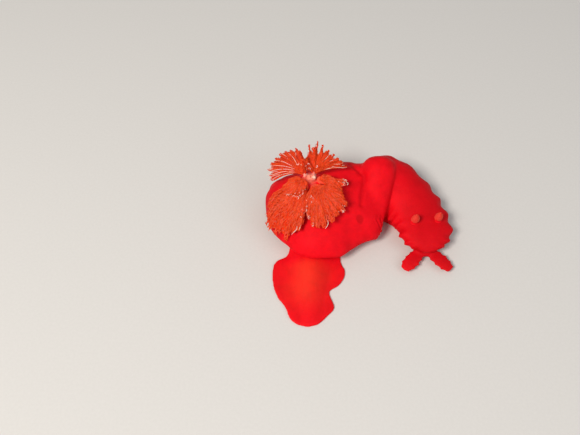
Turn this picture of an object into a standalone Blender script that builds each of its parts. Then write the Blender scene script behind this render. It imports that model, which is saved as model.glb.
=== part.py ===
"""Spanish dancer nudibranch (Hexabranchus sanguineus), Red Sea form, as a still life-size model.

The animal lies on its flat sole in a hook: the rear of the foot reaches towards -Y, the mantle with its six
gills lies over it, and past a high pleat in the mantle the front part turns back towards -Y, to the head.
Sizes below are in millimetres, in plan axes x (right), y (away) and z (up from the floor).
"""

import bmesh
import bpy
import numpy as np

MM = 0.001
# The middle of the finished model's box, which becomes the frame's origin on the floor.
BOX_MIDDLE = (10.71, -10.35)
GAP = 0.3
SOLE_TOP = 11.7
MANTLE_FLOOR = SOLE_TOP + GAP
RIM_THICKNESS = 2.6

# The tail's outline on the floor: y, left x, right x, from the mantle's rear edge to the tip.
TAIL_OUTLINE = (
    (-22.0, -58.5, -7.0),
    (-27.0, -62.0, -6.5),
    (-31.0, -69.5, -6.4),
    (-36.0, -73.3, -5.6),
    (-42.0, -74.6, -2.6),
    (-49.0, -75.0, -3.2),
    (-56.0, -74.4, -6.6),
    (-61.0, -73.4, -11.2),
    (-64.5, -72.6, -17.4),
    (-68.0, -71.2, -18.8),
    (-74.0, -68.6, -17.2),
    (-80.0, -64.0, -15.2),
    (-86.0, -60.8, -15.6),
    (-92.0, -59.0, -21.2),
    (-97.5, -55.4, -26.4),
    (-101.5, -50.0, -31.6),
)
TAIL_TIP = (-40.5, -104.2)
TAIL_FLANGE = 2.4
TAIL_CORE_HEIGHT = (11.2, 2.9)
TAIL_CORE_HALF_WIDTH = (25.0, 9.0)
TAIL_CORE_MIDDLE = (-36.0, -38.5)

# The crawling foot under the mantle: its middle line, and its half width.
FOOT_LINE = (
    (-32.8, -21.7),
    (-32.8, -7.0),
    (-26.0, 14.0),
    (-8.0, 32.0),
    (16.0, 38.0),
    (40.0, 34.0),
    (58.0, 23.0),
    (69.0, 8.0),
    (73.5, -5.0),
)
FOOT_HALF_WIDTH = (25.5, 18.5, 16.0)
FOOT_STATIONS = 29
FOOT_PARTING = 14

# The rear mantle: its free edge round about, and the top of its back.
REAR_EDGE = (
    (-59.5, -22.5, 13.5),
    (-72.0, -8.0, 10.5),
    (-79.0, 6.0, 9.5),
    (-81.5, 22.0, 9.5),
    (-82.0, 36.0, 9.0),
    (-77.0, 47.0, 9.0),
    (-66.0, 54.0, 9.0),
    (-49.0, 61.0, 8.5),
    (-27.0, 70.0, 8.5),
    (0.0, 76.5, 8.5),
    (16.0, 73.0, 9.0),
    (30.0, 70.0, 11.0),
    (41.0, 60.0, 13.0),
    (44.0, 40.0, 14.0),
    (38.0, 12.0, 14.0),
    (30.5, -11.5, 13.5),
    (17.0, -18.5, 14.0),
    (4.0, -27.0, 14.5),
    (-7.0, -36.0, 15.5),
    (-22.0, -38.5, 16.5),
    (-38.0, -38.5, 16.5),
    (-50.0, -33.0, 15.5),
)
REAR_TOP = (-22.0, 25.0, 48.5)

# The pleat: its line with the height of its middle, and its radius.
PLEAT_LINE = (
    (27.0, -13.0, 13.0),
    (26.5, -4.0, 17.5),
    (26.8, 10.0, 25.0),
    (28.3, 24.0, 33.0),
    (31.5, 40.0, 41.0),
    (34.0, 55.0, 43.0),
    (35.5, 68.0, 33.5),
    (36.5, 80.0, 17.0),
)
PLEAT_RADIUS = (2.6, 6.2, 9.4, 11.4, 12.2, 12.0, 10.0, 5.0)
PLEAT_FLATNESS = 1.16

# The front mantle: middle line, half widths outside and inside the turn, height, and the free edge's height.
FRONT_LINE = (
    (29.0, 43.5),
    (39.0, 41.5),
    (52.0, 36.0),
    (64.0, 25.0),
    (72.0, 11.0),
    (76.0, -4.0),
    (77.5, -16.0),
    (78.0, -24.0),
    (78.0, -29.0),
)
FRONT_OUTSIDE = (38, 40.5, 36.5, 32, 29.5, 28, 24.5, 16.5, 5)
FRONT_INSIDE = (26, 26, 26, 26, 26, 25.5, 23, 16, 5)
FRONT_HEIGHT = (46, 47, 43, 37, 31.5, 27.5, 24.5, 21, 17.5)
FRONT_EDGE_HEIGHT = (9, 9, 10, 11, 12.5, 14, 14.5, 15, 15)

# Two upright cuts part the mantle: one at a fixed x, one from a near x to a far x.
# They reach this far out from the middle.
CUT_REACH = 120.0
REAR_CUT = (20.5, 20.5)
FRONT_CUT = (27.0, 52.0)
CUT_HEIGHTS = (1.0, 90.0)

HEAD_MIDDLE = (77.0, -18.0, 6.6)
HEAD_HALF_SIZE = (12.0, 11.0, 4.9)
TENTACLE_LENGTH = 28.0
TENTACLE_HALF_WIDTH = 9.5
TENTACLE_COURSE = (0.66, -0.75)
TENTACLE_HEIGHT = 5.6
TENTACLE_ARCH = 1.2
# Half the thickness at the root, and how much of it is gone at the tip.
TENTACLE_THICKNESS = (2.2, 1.3)
# The scallops' depth, as a share of the width, and their number of radians along the whole tentacle.
TENTACLE_SCALLOP = (0.09, 26.0)
RHINOPHORE_PLACES = ((65.5, -2.0), (88.5, 0.5))
RHINOPHORE_FOOT = 22.0
RHINOPHORE_TOP = 41.0
RHINOPHORE_STALK_RADIUS = 3.2
RHINOPHORE_CLUB_RADIUS = 2.3
RHINOPHORE_CLUB_SWELL = 1.5
# The share of the height that the stalk takes up, how flat the club is, and how far its top leans.
RHINOPHORE_STALK_SHARE = 0.3
RHINOPHORE_FLATNESS = 0.8
RHINOPHORE_LEAN = -2.5

GILL_MIDDLE = (-37.0, 29.0)
GILL_BED_TOP = 54.0
GILL_BED_RADIUS = 13.0
# The bed's rings, from its foot to its flat top: share of the radius, and height.
GILL_BED_RINGS = ((1.5, 38.0), (1.2, 45.5), (1.0, 50.5), (0.88, 53.2), (0.76, GILL_BED_TOP))
PAPILLA_RADIUS = 4.2
# The papilla's rings, up its side and over its rim: share of the radius, and height above the bed.
PAPILLA_RINGS = ((1.0, 0.0), (0.86, 2.0), (0.8, 4.5), (0.9, 6.6), (0.7, 7.5), (0.4, 7.0))
PAPILLA_DIMPLE = 5.6
STALK_RING_RADIUS = 7.4
# Each gill: its place round the bed in degrees, how far it first rises, and its tips on the left, in the
# middle and on the right.
GILLS = {
    "gill_rear_left": (130, 10, ((-80, 41, 44), (-68, 56, 60), (-48, 54, 71))),
    "gill_rear_right": (62, 12, ((-42, 56, 75), (-26, 60, 76), (-1, 42, 59))),
    "gill_left": (186, 5, ((-60, 33, 50), (-69, 26, 45), (-67, 17, 44))),
    "gill_front_left": (236, 6, ((-80, 15, 25), (-75, -13, 21), (-46, -19, 42))),
    "gill_front_right": (298, 7, ((-42, -14, 44), (-24, -25, 43), (-3, -6, 48))),
    "gill_right": (4, 6, ((-3, 4, 51), (-3, 17, 53), (-8, 29, 56))),
}
GILL_THICKNESS = 3.0
GILL_STALK_RADIUS = 2.6
GILL_LOBES = 4
GILL_SCALLOP = 0.035
# How far out each line of a gill bends over, and how far out its stalk has opened into the fan.
GILL_SHOULDER = 0.38
GILL_OPENING = 0.3

RED = (0.80, 0.010, 0.016, 1.0)
ORANGE = (0.82, 0.075, 0.018, 1.0)
PINK = (0.85, 0.30, 0.20, 1.0)


def clear_scene():
    """Removes what a new file holds."""
    for item in list(bpy.data.objects):
        bpy.data.objects.remove(item)


def finish(name, colour, roughness):
    """A plain flesh material."""
    material = bpy.data.materials.new(name)
    material.use_nodes = True
    shader = material.node_tree.nodes["Principled BSDF"]
    shader.inputs["Base Color"].default_value = colour
    shader.inputs["Roughness"].default_value = roughness
    shader.inputs["Metallic"].default_value = 0.0
    return material


def through(points, count, closed=False):
    """Points on a Catmull-Rom curve through the given ones, evenly spread from point to point."""
    p = np.asarray(points, float)
    if closed:
        padded = np.concatenate([p[-1:], p, p[:2]])
        spans = len(p)
        at = np.arange(count) / count * spans
    else:
        padded = np.concatenate([2 * p[:1] - p[1:2], p, 2 * p[-1:] - p[-2:-1]])
        spans = len(p) - 1
        at = np.linspace(0, spans, count)
    i = np.minimum(at.astype(int), spans - 1)
    t = (at - i)[:, None]
    a, b, c, d = padded[i], padded[i + 1], padded[i + 2], padded[i + 3]
    return b + 0.5 * t * (c - a + t * (2 * a - 5 * b + 4 * c - d + t * (3 * (b - c) + d - a)))


def sideways(line):
    """The unit vector to the left of a line's course in plan, at each of its points."""
    course = np.gradient(line[:, :2], axis=0)
    course /= np.linalg.norm(course, axis=1)[:, None]
    return np.stack([-course[:, 1], course[:, 0]], axis=1)


def superellipse(share, power):
    """How high a dome stands, from 0 at its edge (share 0) to 1 at its top (share 1)."""
    return (1 - (1 - np.clip(share, 0, 1)) ** power) ** (1 / power)


def closed_solid(name, rings, first_pole=None, last_pole=None, thin_end=False):
    """An object whose surface joins ring to ring, with a pole or a flat face at each end.

    A thin end is closed across, from each point of the last ring to its opposite one.
    """
    mesh = bmesh.new()
    rings = np.asarray(rings, float)
    middle = np.array([*BOX_MIDDLE, 0.0])
    rows = [[mesh.verts.new((point - middle) * MM) for point in ring] for ring in rings]
    count = len(rows[0])
    for lower, upper in zip(rows, rows[1:]):
        for i in range(count):
            j = (i + 1) % count
            mesh.faces.new((lower[i], lower[j], upper[j], upper[i]))
    for row, pole in ((rows[0], first_pole), (rows[-1], last_pole)):
        if pole is None and thin_end and row is rows[-1]:
            half = count // 2
            for i in range(half):
                corners = [row[i], row[i + 1], row[(count - i - 1) % count], row[-i]]
                mesh.faces.new(list(dict.fromkeys(corners)))
            continue
        if pole is None:
            mesh.faces.new(row)
            continue
        top = mesh.verts.new((np.asarray(pole, float) - middle) * MM)
        for i in range(count):
            mesh.faces.new((row[i], row[(i + 1) % count], top))
    bmesh.ops.recalc_face_normals(mesh, faces=mesh.faces[:])
    bmesh.ops.triangulate(mesh, faces=mesh.faces[:])
    data = bpy.data.meshes.new(name)
    mesh.to_mesh(data)
    mesh.free()
    data.shade_smooth()
    made = bpy.data.objects.new(name, data)
    bpy.context.scene.collection.objects.link(made)
    return made


def helper(made):
    """Marks a form as a guide or a cutter, which is not a piece."""
    made.hide_render = True
    made.display_type = "WIRE"
    return made


def boolean(made, other, operation):
    """Adds a live Boolean step to a piece."""
    step = made.modifiers.new(operation.lower() + "_" + other.name, "BOOLEAN")
    step.operation = operation
    step.solver = "EXACT"
    step.object = other


def raised(form, name, height):
    """A cutter: the form moved up by the given height."""
    cutter = bpy.data.objects.new(name, form.data)
    bpy.context.scene.collection.objects.link(cutter)
    cutter.location.z = height * MM
    return helper(cutter)


def grown(form, name, middle, half_size):
    """A cutter: the form made larger all round by the gap."""
    cutter = raised(form, name, 0.0)
    offset = np.subtract(middle, (*BOX_MIDDLE, 0.0)) * MM
    cutter.scale = [1 + GAP / half for half in half_size]
    cutter.location = offset * (1 - np.array(cutter.scale))
    return cutter


def tail():
    """The foot's free rear lobe: a thin flange round a low raised core, flat below."""
    table = through(TAIL_OUTLINE, 25)
    across = np.linspace(-1, 1, 16)
    below = np.linspace(0.94, -0.94, 6)
    rings = []
    for along, (y, left, right) in zip(np.linspace(0, 1, len(table)), table):
        half, middle = (right - left) / 2, (right + left) / 2
        height = np.interp(along, (0, 0.35, 1), (TAIL_CORE_HEIGHT[0], *TAIL_CORE_HEIGHT))
        core = np.interp(along, (0, 1), TAIL_CORE_HALF_WIDTH)
        core_middle = np.interp(along, (0, 1), TAIL_CORE_MIDDLE)
        x = middle + half * np.sin(across * np.pi / 2)
        bump = np.clip(1 - ((x - core_middle) / core) ** 2, 0, 1) ** 1.5
        rim = TAIL_FLANGE * (0.35 + 0.65 * (1 - np.abs(across) ** 6))
        top = np.stack([x, np.full_like(x, y), rim + (height - TAIL_FLANGE) * bump], axis=1)
        x = middle + half * below
        rings.append(np.concatenate([top, np.stack([x, np.full_like(x, y), 0 * x], axis=1)]))
    return closed_solid("tail", rings, last_pole=(*TAIL_TIP, TAIL_FLANGE / 3))


def foot(name, first, last):
    """A stretch of the crawling foot between two stations: a flat sole, flared a little, and a flat top."""
    line = through(FOOT_LINE, FOOT_STATIONS)
    side = sideways(line)
    side[0] = (-1.0, 0.0)
    widths = np.interp(np.linspace(0, 2, FOOT_STATIONS), (0, 1, 2), FOOT_HALF_WIDTH)
    if first:
        line[first] += (line[first + 1] - line[first]) * GAP / np.linalg.norm(line[first + 1] - line[first])
    profile = ((-0.96, 0), (-1, 1.2), (-0.97, 5), (-0.9, 9.5), (-0.8, SOLE_TOP))
    profile += tuple((-share, z) for share, z in reversed(profile))
    rings = [
        [(*(line[k] - side[k] * share * widths[k]), z) for share, z in profile]
        for k in range(first, last + 1)
    ]
    return closed_solid(name, rings)


def rear_form():
    """The rear mantle before it is parted: a dome with a thin free edge, hollowed under that edge."""
    edge = through(REAR_EDGE, 56, closed=True)
    top = np.array(REAR_TOP)
    steep = np.interp(edge[:, 1], (-30, 25), (1.75, 2.5))
    rings = []
    for share in (0.0, 0.012, 0.04, 0.09, 0.16, 0.25, 0.36, 0.49, 0.64, 0.80, 0.92):
        ring = edge + (top - edge) * share
        start = edge[:, 2] + (RIM_THICKNESS / 2 if share else 0)
        ring[:, 2] = start + (top[2] - start) * superellipse(share - 0.012, steep) if share else start
        rings.append(ring)
    under = []
    for share, level in ((0.9, 1), (0.5, 1), (0.24, 1), (0.10, 0.45), (0.015, 0.0)):
        ring = edge + (top - edge) * share
        ring[:, 2] = edge[:, 2] - RIM_THICKNESS / 2
        ring[:, 2] += (MANTLE_FLOOR - ring[:, 2]) * level
        under.append(ring)
    return closed_solid("rear_form", under + rings, (top[0], top[1], MANTLE_FLOOR), top)


def pleat_form():
    """The pleat before it is parted: a tube along its line, a little wider than tall."""
    line = through(PLEAT_LINE, 19)
    radius = through([[r] for r in PLEAT_RADIUS], 19)[:, 0]
    turn = np.linspace(0, 2 * np.pi, 20, endpoint=False)[:, None]
    side = np.column_stack([sideways(line), np.zeros(len(line))])
    upright = np.sin(turn) * np.array([0, 0, 1.0])
    level = PLEAT_FLATNESS * np.cos(turn)
    rings = [point + r * (level * s + upright) for point, r, s in zip(line, radius, side)]
    return closed_solid("pleat_form", rings, line[0] + (0, -1.5, -0.6), line[-1] + (0, 3.5, -4))


def front_form():
    """The front mantle before it is parted: an arched vault along its line, rounded off over the head."""
    stations = 25
    line = through(FRONT_LINE, stations)
    side = sideways(line)
    columns = [FRONT_OUTSIDE, FRONT_INSIDE, FRONT_HEIGHT, FRONT_EDGE_HEIGHT]
    sizes = through(np.array(columns, float).T, stations)
    across = np.sin(np.linspace(-1, 1, 19) * np.pi / 2)
    rings = []
    for point, normal, (outside, inside, height, edge) in zip(line, side, sizes):
        width = np.where(across > 0, outside, inside)
        start = edge + RIM_THICKNESS / 2
        z = start + (height - start) * superellipse(1 - np.abs(across), 2.1)
        top = np.column_stack([point + normal * (across * width)[:, None], z])
        below = []
        for share, level in ((0.99, 0.0), (0.92, 0.6), (0.83, 1), (-0.83, 1), (-0.92, 0.6), (-0.99, 0.0)):
            place = point + normal * share * (outside if share > 0 else inside)
            low = edge - RIM_THICKNESS / 2
            below.append((*place, low + (MANTLE_FLOOR - low) * level))
        rings.append(np.concatenate([top, below]))
    nose = (FRONT_LINE[-1][0], FRONT_LINE[-1][1] - 1.5, FRONT_EDGE_HEIGHT[-1])
    return closed_solid("front_form", rings, last_pole=nose)


def block(name, corners, low, high):
    """A cutter: an upright block over a four-cornered plan."""
    rings = [[(x, y, z) for x, y in corners] for z in (low, high)]
    return helper(closed_solid(name, rings))


def mantle(material):
    """The whole mantle parted into rear, pleat and front along two upright cuts."""
    forms = {"mantle_rear": rear_form(), "mantle_pleat": pleat_form(), "mantle_front": front_form()}
    cuts = {
        "mantle_rear": ((-CUT_REACH, -CUT_REACH), REAR_CUT),
        "mantle_pleat": (np.add(REAR_CUT, GAP), FRONT_CUT),
        "mantle_front": (np.add(FRONT_CUT, GAP), (CUT_REACH, CUT_REACH)),
    }
    for name, (left, right) in cuts.items():
        plan = ((left[0], -CUT_REACH), (right[0], -CUT_REACH), (right[1], CUT_REACH), (left[1], CUT_REACH))
        cutter = block(name + "_block", plan, *CUT_HEIGHTS)
        made = bpy.data.objects.new(name, forms[name].data)
        bpy.context.scene.collection.objects.link(made)
        for other in forms:
            if other != name:
                boolean(made, forms[other], "UNION")
        boolean(made, cutter, "INTERSECT")
        made.data.materials.append(material)
    for form in forms.values():
        helper(form)
    return forms


def rounded_lump(name, middle, half_size, power=2.4, rings=7, around=20):
    """A closed lump: stacked superellipses, with its top and bottom as poles."""
    turn = np.linspace(0, 2 * np.pi, around, endpoint=False)
    rise = np.sin(np.linspace(-1, 1, rings + 2)[1:-1] * np.pi / 2)
    stack = []
    for z in rise:
        reach = (1 - abs(z) ** power) ** (1 / power)
        x = half_size[0] * reach * np.sign(np.cos(turn)) * np.abs(np.cos(turn)) ** (2 / power)
        y = half_size[1] * reach * np.sign(np.sin(turn)) * np.abs(np.sin(turn)) ** (2 / power)
        stack.append(np.column_stack([x, y, np.full_like(x, half_size[2] * z)]) + middle)
    low, high = (np.add(middle, (0, 0, sign * half_size[2])) for sign in (-1, 1))
    return closed_solid(name, stack, low, high)


def tentacle(name, side, head):
    """An oral tentacle: a flat ear reaching forwards and outwards from the head, with a scalloped edge."""
    stations = np.linspace(0, 1, 13)
    start = np.array([HEAD_MIDDLE[0] + side * 4.0, HEAD_MIDDLE[1] - HEAD_HALF_SIZE[1] * 0.45])
    course = np.array([side * TENTACLE_COURSE[0], TENTACLE_COURSE[1]])
    normal = np.array([-course[1], course[0]])
    turn = np.linspace(0, 2 * np.pi, 12, endpoint=False)
    depth, scallops = TENTACLE_SCALLOP
    rings = []
    for t in stations:
        middle = start + course * TENTACLE_LENGTH * t
        wide = TENTACLE_HALF_WIDTH * (0.5 + 0.85 * t - 0.8 * t**3) * (1 + depth * np.sin(t * scallops))
        thick = TENTACLE_THICKNESS[0] - TENTACLE_THICKNESS[1] * t
        height = TENTACLE_HEIGHT + TENTACLE_ARCH * np.sin(t * 3.0)
        edge = middle + normal * (np.cos(turn) * wide)[:, None]
        rings.append(np.column_stack([edge, height + thick * np.sin(turn)]))
    tip = (*(start + course * (TENTACLE_LENGTH + 1.5)), TENTACLE_HEIGHT)
    made = closed_solid(name, rings, last_pole=tip)
    boolean(made, grown(head, name + "_seat", HEAD_MIDDLE, HEAD_HALF_SIZE), "DIFFERENCE")
    return made


def rhinophore(name, place, front):
    """A rhinophore: a short stalk and a ringed club, its foot fitted to the mantle's back."""
    stations = np.linspace(0, 1, 13)
    turn = np.linspace(0, 2 * np.pi, 16, endpoint=False)
    rings = []
    for t in stations:
        up_club = np.clip((t - RHINOPHORE_STALK_SHARE) / (1 - RHINOPHORE_STALK_SHARE), 0, 1)
        club = RHINOPHORE_CLUB_RADIUS + RHINOPHORE_CLUB_SWELL * np.sin(up_club * np.pi * 0.86)
        radius = RHINOPHORE_STALK_RADIUS if t < RHINOPHORE_STALK_SHARE else club
        x = place[0] + radius * np.cos(turn)
        y = place[1] + radius * RHINOPHORE_FLATNESS * np.sin(turn) + RHINOPHORE_LEAN * t
        height = RHINOPHORE_FOOT + (RHINOPHORE_TOP - RHINOPHORE_FOOT) * t
        rings.append(np.column_stack([x, y, np.full_like(x, height)]))
    tip = (place[0], place[1] - 2.6, RHINOPHORE_TOP + 1.2)
    made = closed_solid(name, rings, last_pole=tip)
    boolean(made, raised(front, name + "_seat", GAP), "DIFFERENCE")
    return made


def gill_bed(rear):
    """The low round bed that carries the gills, flat on top, its underside fitted to the back."""
    turn = np.linspace(0, 2 * np.pi, 24, endpoint=False)
    rings = []
    for share, z in GILL_BED_RINGS:
        x = GILL_MIDDLE[0] + GILL_BED_RADIUS * share * np.cos(turn)
        y = GILL_MIDDLE[1] + GILL_BED_RADIUS * share * np.sin(turn)
        rings.append(np.column_stack([x, y, np.full_like(x, z)]))
    made = closed_solid("gill_bed", rings)
    boolean(made, raised(rear, "gill_bed_seat", GAP), "DIFFERENCE")
    return made


def papilla():
    """The anal papilla: a soft tube in the middle of the gills, its rim rounded over a dimple."""
    turn = np.linspace(0, 2 * np.pi, 14, endpoint=False)
    circle = PAPILLA_RADIUS * np.column_stack([np.cos(turn), np.sin(turn), 0 * turn])
    foot_middle = np.array([*GILL_MIDDLE, GILL_BED_TOP + GAP])
    rings = [share * circle + foot_middle + (0, 0, z) for share, z in PAPILLA_RINGS]
    return closed_solid("anal_papilla", rings, last_pole=(*GILL_MIDDLE, GILL_BED_TOP + PAPILLA_DIMPLE))


def gill_surface(around, rise, tips, across, along):
    """A gill's middle surface on a grid (along, across).

    Each line along it, from stalk to edge, is a Bezier curve that starts upright.
    """
    angle = np.radians(around)
    outward = np.array([np.cos(angle), np.sin(angle), 0.0])
    root = np.array([*GILL_MIDDLE, GILL_BED_TOP + GAP]) + STALK_RING_RADIUS * outward
    left, middle, right = np.array(tips, float)
    a = across[:, None]
    edge = middle + a * (right - left) / 2 + a**2 * ((right + left) / 2 - middle)
    scallop = 1 + GILL_SCALLOP * np.cos(across * np.pi * GILL_LOBES)
    edge = root + (edge - root) * scallop[:, None]
    control = root + (0, 0, rise) + GILL_SHOULDER * (edge - root) * (1, 1, 0)
    b = along[:, None, None]
    return (1 - b) ** 2 * root + 2 * b * (1 - b) * control + b**2 * edge


def gill(name, around, rise, tips):
    """A gill plume's outer shape: a round stalk that opens into a cupped, lobed fan."""
    turn = np.linspace(0, 2 * np.pi, 26, endpoint=False)
    across = -np.cos(turn)
    along = np.array([0.0, 0.07, 0.16, 0.28, 0.44, 0.62, 0.81, 1.0])
    surface = gill_surface(around, rise, tips, across, along)
    level = np.array(tips[2], float) - np.array(tips[0], float)
    level[2] = 0
    level /= np.linalg.norm(level)
    face = np.cross((0, 0, 1.0), level)
    fine = np.linspace(-1, 1, 41)
    rings = []
    for k, b in enumerate(along):
        near = gill_surface(around, rise, tips, fine, np.array([max(b - 0.03, 0.03), max(b, 0.06)]))
        normal = np.cross(near[1] - near[0], np.gradient(near[1], axis=0))
        normal /= np.linalg.norm(normal, axis=1)[:, None]
        normal = np.column_stack([np.interp(across, fine, normal[:, i]) for i in range(3)])
        share = min(b / GILL_OPENING, 1.0)
        opened = share**2 * (3 - 2 * share)
        stalk = across[:, None] * level + np.sin(turn)[:, None] * face
        fan = normal * (np.sin(turn) * GILL_THICKNESS / 2 * (1.15 - 0.75 * b))[:, None]
        rings.append(surface[k] + (1 - opened) * GILL_STALK_RADIUS * stalk + opened * fan)
    return closed_solid(name, rings, thin_end=True)


def main():
    """Builds every piece."""
    clear_scene()
    skin = finish("red_skin", RED, 0.38)
    plume = finish("orange_gill", ORANGE, 0.5)
    pale = finish("pale_pink_flesh", PINK, 0.45)
    head = rounded_lump("head", HEAD_MIDDLE, HEAD_HALF_SIZE)
    for made in (
        tail(),
        foot("foot_rear", 0, FOOT_PARTING),
        foot("foot_front", FOOT_PARTING, FOOT_STATIONS - 1),
        head,
        tentacle("oral_tentacle_right", -1, head),
        tentacle("oral_tentacle_left", 1, head),
    ):
        made.data.materials.append(skin)
    forms = mantle(skin)
    for name, place in zip(("rhinophore_right", "rhinophore_left"), RHINOPHORE_PLACES):
        rhinophore(name, place, forms["mantle_front"]).data.materials.append(skin)
    gill_bed(forms["mantle_rear"]).data.materials.append(pale)
    papilla().data.materials.append(pale)
    for name, (around, rise, tips) in GILLS.items():
        gill(name, around, rise, tips).data.materials.append(plume)


main()
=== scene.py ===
"""Looks of a spanish dancer nudibranch (Hexabranchus sanguineus), a still life-size model.

Sizes are in millimetres on the plan of the animal: x right, y away from the camera, z up from the floor.
Every surface is worked out with numpy as a function of two parameters, or as a profile carried along a line.
"""

from __future__ import annotations

import logging
import math
from dataclasses import dataclass, field
from enum import Enum

import bpy
import numpy as np
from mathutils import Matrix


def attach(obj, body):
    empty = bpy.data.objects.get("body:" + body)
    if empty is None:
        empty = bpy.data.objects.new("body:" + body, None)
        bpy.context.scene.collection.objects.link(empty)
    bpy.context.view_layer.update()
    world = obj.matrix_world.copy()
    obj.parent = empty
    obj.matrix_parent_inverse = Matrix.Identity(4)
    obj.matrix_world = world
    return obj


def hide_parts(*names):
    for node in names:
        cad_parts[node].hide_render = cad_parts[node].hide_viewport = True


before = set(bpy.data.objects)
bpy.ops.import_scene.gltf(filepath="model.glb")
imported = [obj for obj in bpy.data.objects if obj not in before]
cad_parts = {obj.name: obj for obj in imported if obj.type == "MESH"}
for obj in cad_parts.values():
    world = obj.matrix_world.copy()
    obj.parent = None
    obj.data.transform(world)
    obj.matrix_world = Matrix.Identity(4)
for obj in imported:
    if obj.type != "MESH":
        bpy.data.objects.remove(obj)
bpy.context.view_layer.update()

LOG = logging.getLogger("spanish_dancer")
MM = 0.001
PLAN_MIDDLE = np.array([10.71, -10.35, 0.0])
ROUND_SIDES = 6
SQUARE_SIDES = 4
BLADE_SIDES = 3
Array = np.ndarray


def to_frame(points: Array) -> Array:
    """Plan millimetres turned into the frame's metres."""
    return (points - PLAN_MIDDLE) * MM


def smooth_step(low: float, high: float, values: Array) -> Array:
    """0 below low, 1 above high, and a smooth S between them."""
    t = np.clip((values - low) / (high - low), 0, 1)
    return t * t * (3 - 2 * t)


def through(points: Array, count: int, closed: bool = False) -> Array:
    """Samples a Catmull-Rom curve.

    Args:
        points: the points that it goes through, (n, k).
        count: how many samples to return, evenly spread from point to point.
        closed: whether it joins up.

    Returns:
        The samples, (count, k).
    """
    p = np.asarray(points, float)
    if closed:
        padded, spans = np.concatenate([p[-1:], p, p[:2]]), len(p)
        at = np.arange(count) / count * spans
    else:
        padded, spans = np.concatenate([2 * p[:1] - p[1:2], p, 2 * p[-1:] - p[-2:-1]]), len(p) - 1
        at = np.linspace(0, spans, count)
    i = np.minimum(at.astype(int), spans - 1)
    t = (at - i)[:, None]
    a, b, c, d = padded[i], padded[i + 1], padded[i + 2], padded[i + 3]
    return b + 0.5 * t * (c - a + t * (2 * a - 5 * b + 4 * c - d + t * (3 * (b - c) + d - a)))


def curve_at(points: Array, at: Array) -> Array:
    """A Catmull-Rom curve at given parameters, straight beyond its ends.

    Args:
        points: the points that it goes through, (n, k).
        at: parameters of any shape, 0 at the first point and n - 1 at the last.

    Returns:
        The samples, with one more axis of k.
    """
    padded = np.concatenate([2 * points[:1] - points[1:2], points, 2 * points[-1:] - points[-2:-1]])
    i = np.clip(np.floor(at).astype(int), 0, len(points) - 2)
    t = (at - i)[..., None]
    a, b, c, d = padded[i], padded[i + 1], padded[i + 2], padded[i + 3]
    inside = np.clip(t, 0, 1)
    bend = 2 * a - 5 * b + 4 * c - d + inside * (3 * (b - c) + d - a)
    return b + 0.5 * inside * (c - a + inside * bend) + (t - inside) * (c - b)


def sideways(line: Array) -> Array:
    """Finds which way is left of a line's course in plan.

    Args:
        line: the line's points, (n, 2) or (n, 3).

    Returns:
        A unit vector for each point, (n, 2).
    """
    course = np.gradient(line[:, :2], axis=0)
    course /= np.linalg.norm(course, axis=1)[:, None]
    return np.stack([-course[:, 1], course[:, 0]], axis=1)


def dome(share: Array, power: Array | float) -> Array:
    """A superellipse's height, from 0 at its edge (share 0) to 1 at its top (share 1)."""
    return (1 - (1 - np.clip(share, 0, 1)) ** power) ** (1 / power)


def angles(count: int) -> Array:
    """Angles evenly round a full turn, in radians."""
    return np.linspace(0, 2 * np.pi, count, endpoint=False)


def unit(vectors: Array) -> Array:
    """The vectors at length 1."""
    return vectors / np.maximum(np.linalg.norm(vectors, axis=-1, keepdims=True), 1e-9)


def soft_noise(points: Array, cell: float, seed: int) -> Array:
    """Value noise from -1 to 1: random values at the corners of a lattice, blended smoothly between them.

    Args:
        points: places, (n, 3).
        cell: the lattice's spacing, in the points' units.
        seed: which random values.

    Returns:
        One value for each point.
    """
    scaled = points / cell
    base = np.floor(scaled).astype(np.int64)
    part = scaled - base
    part = part * part * (3 - 2 * part)
    total = np.zeros(len(points))
    for corner in np.ndindex(2, 2, 2):
        at = base + np.array(corner)
        mixed = at[:, 0] * 73856093 ^ at[:, 1] * 19349663 ^ at[:, 2] * 83492791 ^ seed * 2654435761
        mixed = (mixed ^ (mixed >> 13)) * 1274126177 & 0xFFFFFFFF
        value = (mixed >> 8 & 0xFFFF) / 32767.5 - 1
        weight = np.prod(np.where(np.array(corner) == 1, part, 1 - part), axis=1)
        total += value * weight
    return total


def put_object(name: str, data: bpy.types.ID) -> bpy.types.Object:
    """Puts a new object into the scene, at the origin.

    Args:
        name: its name.
        data: its mesh, camera or light.

    Returns:
        The object.
    """
    made = bpy.data.objects.new(name, data)
    bpy.context.scene.collection.objects.link(made)
    return made


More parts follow.
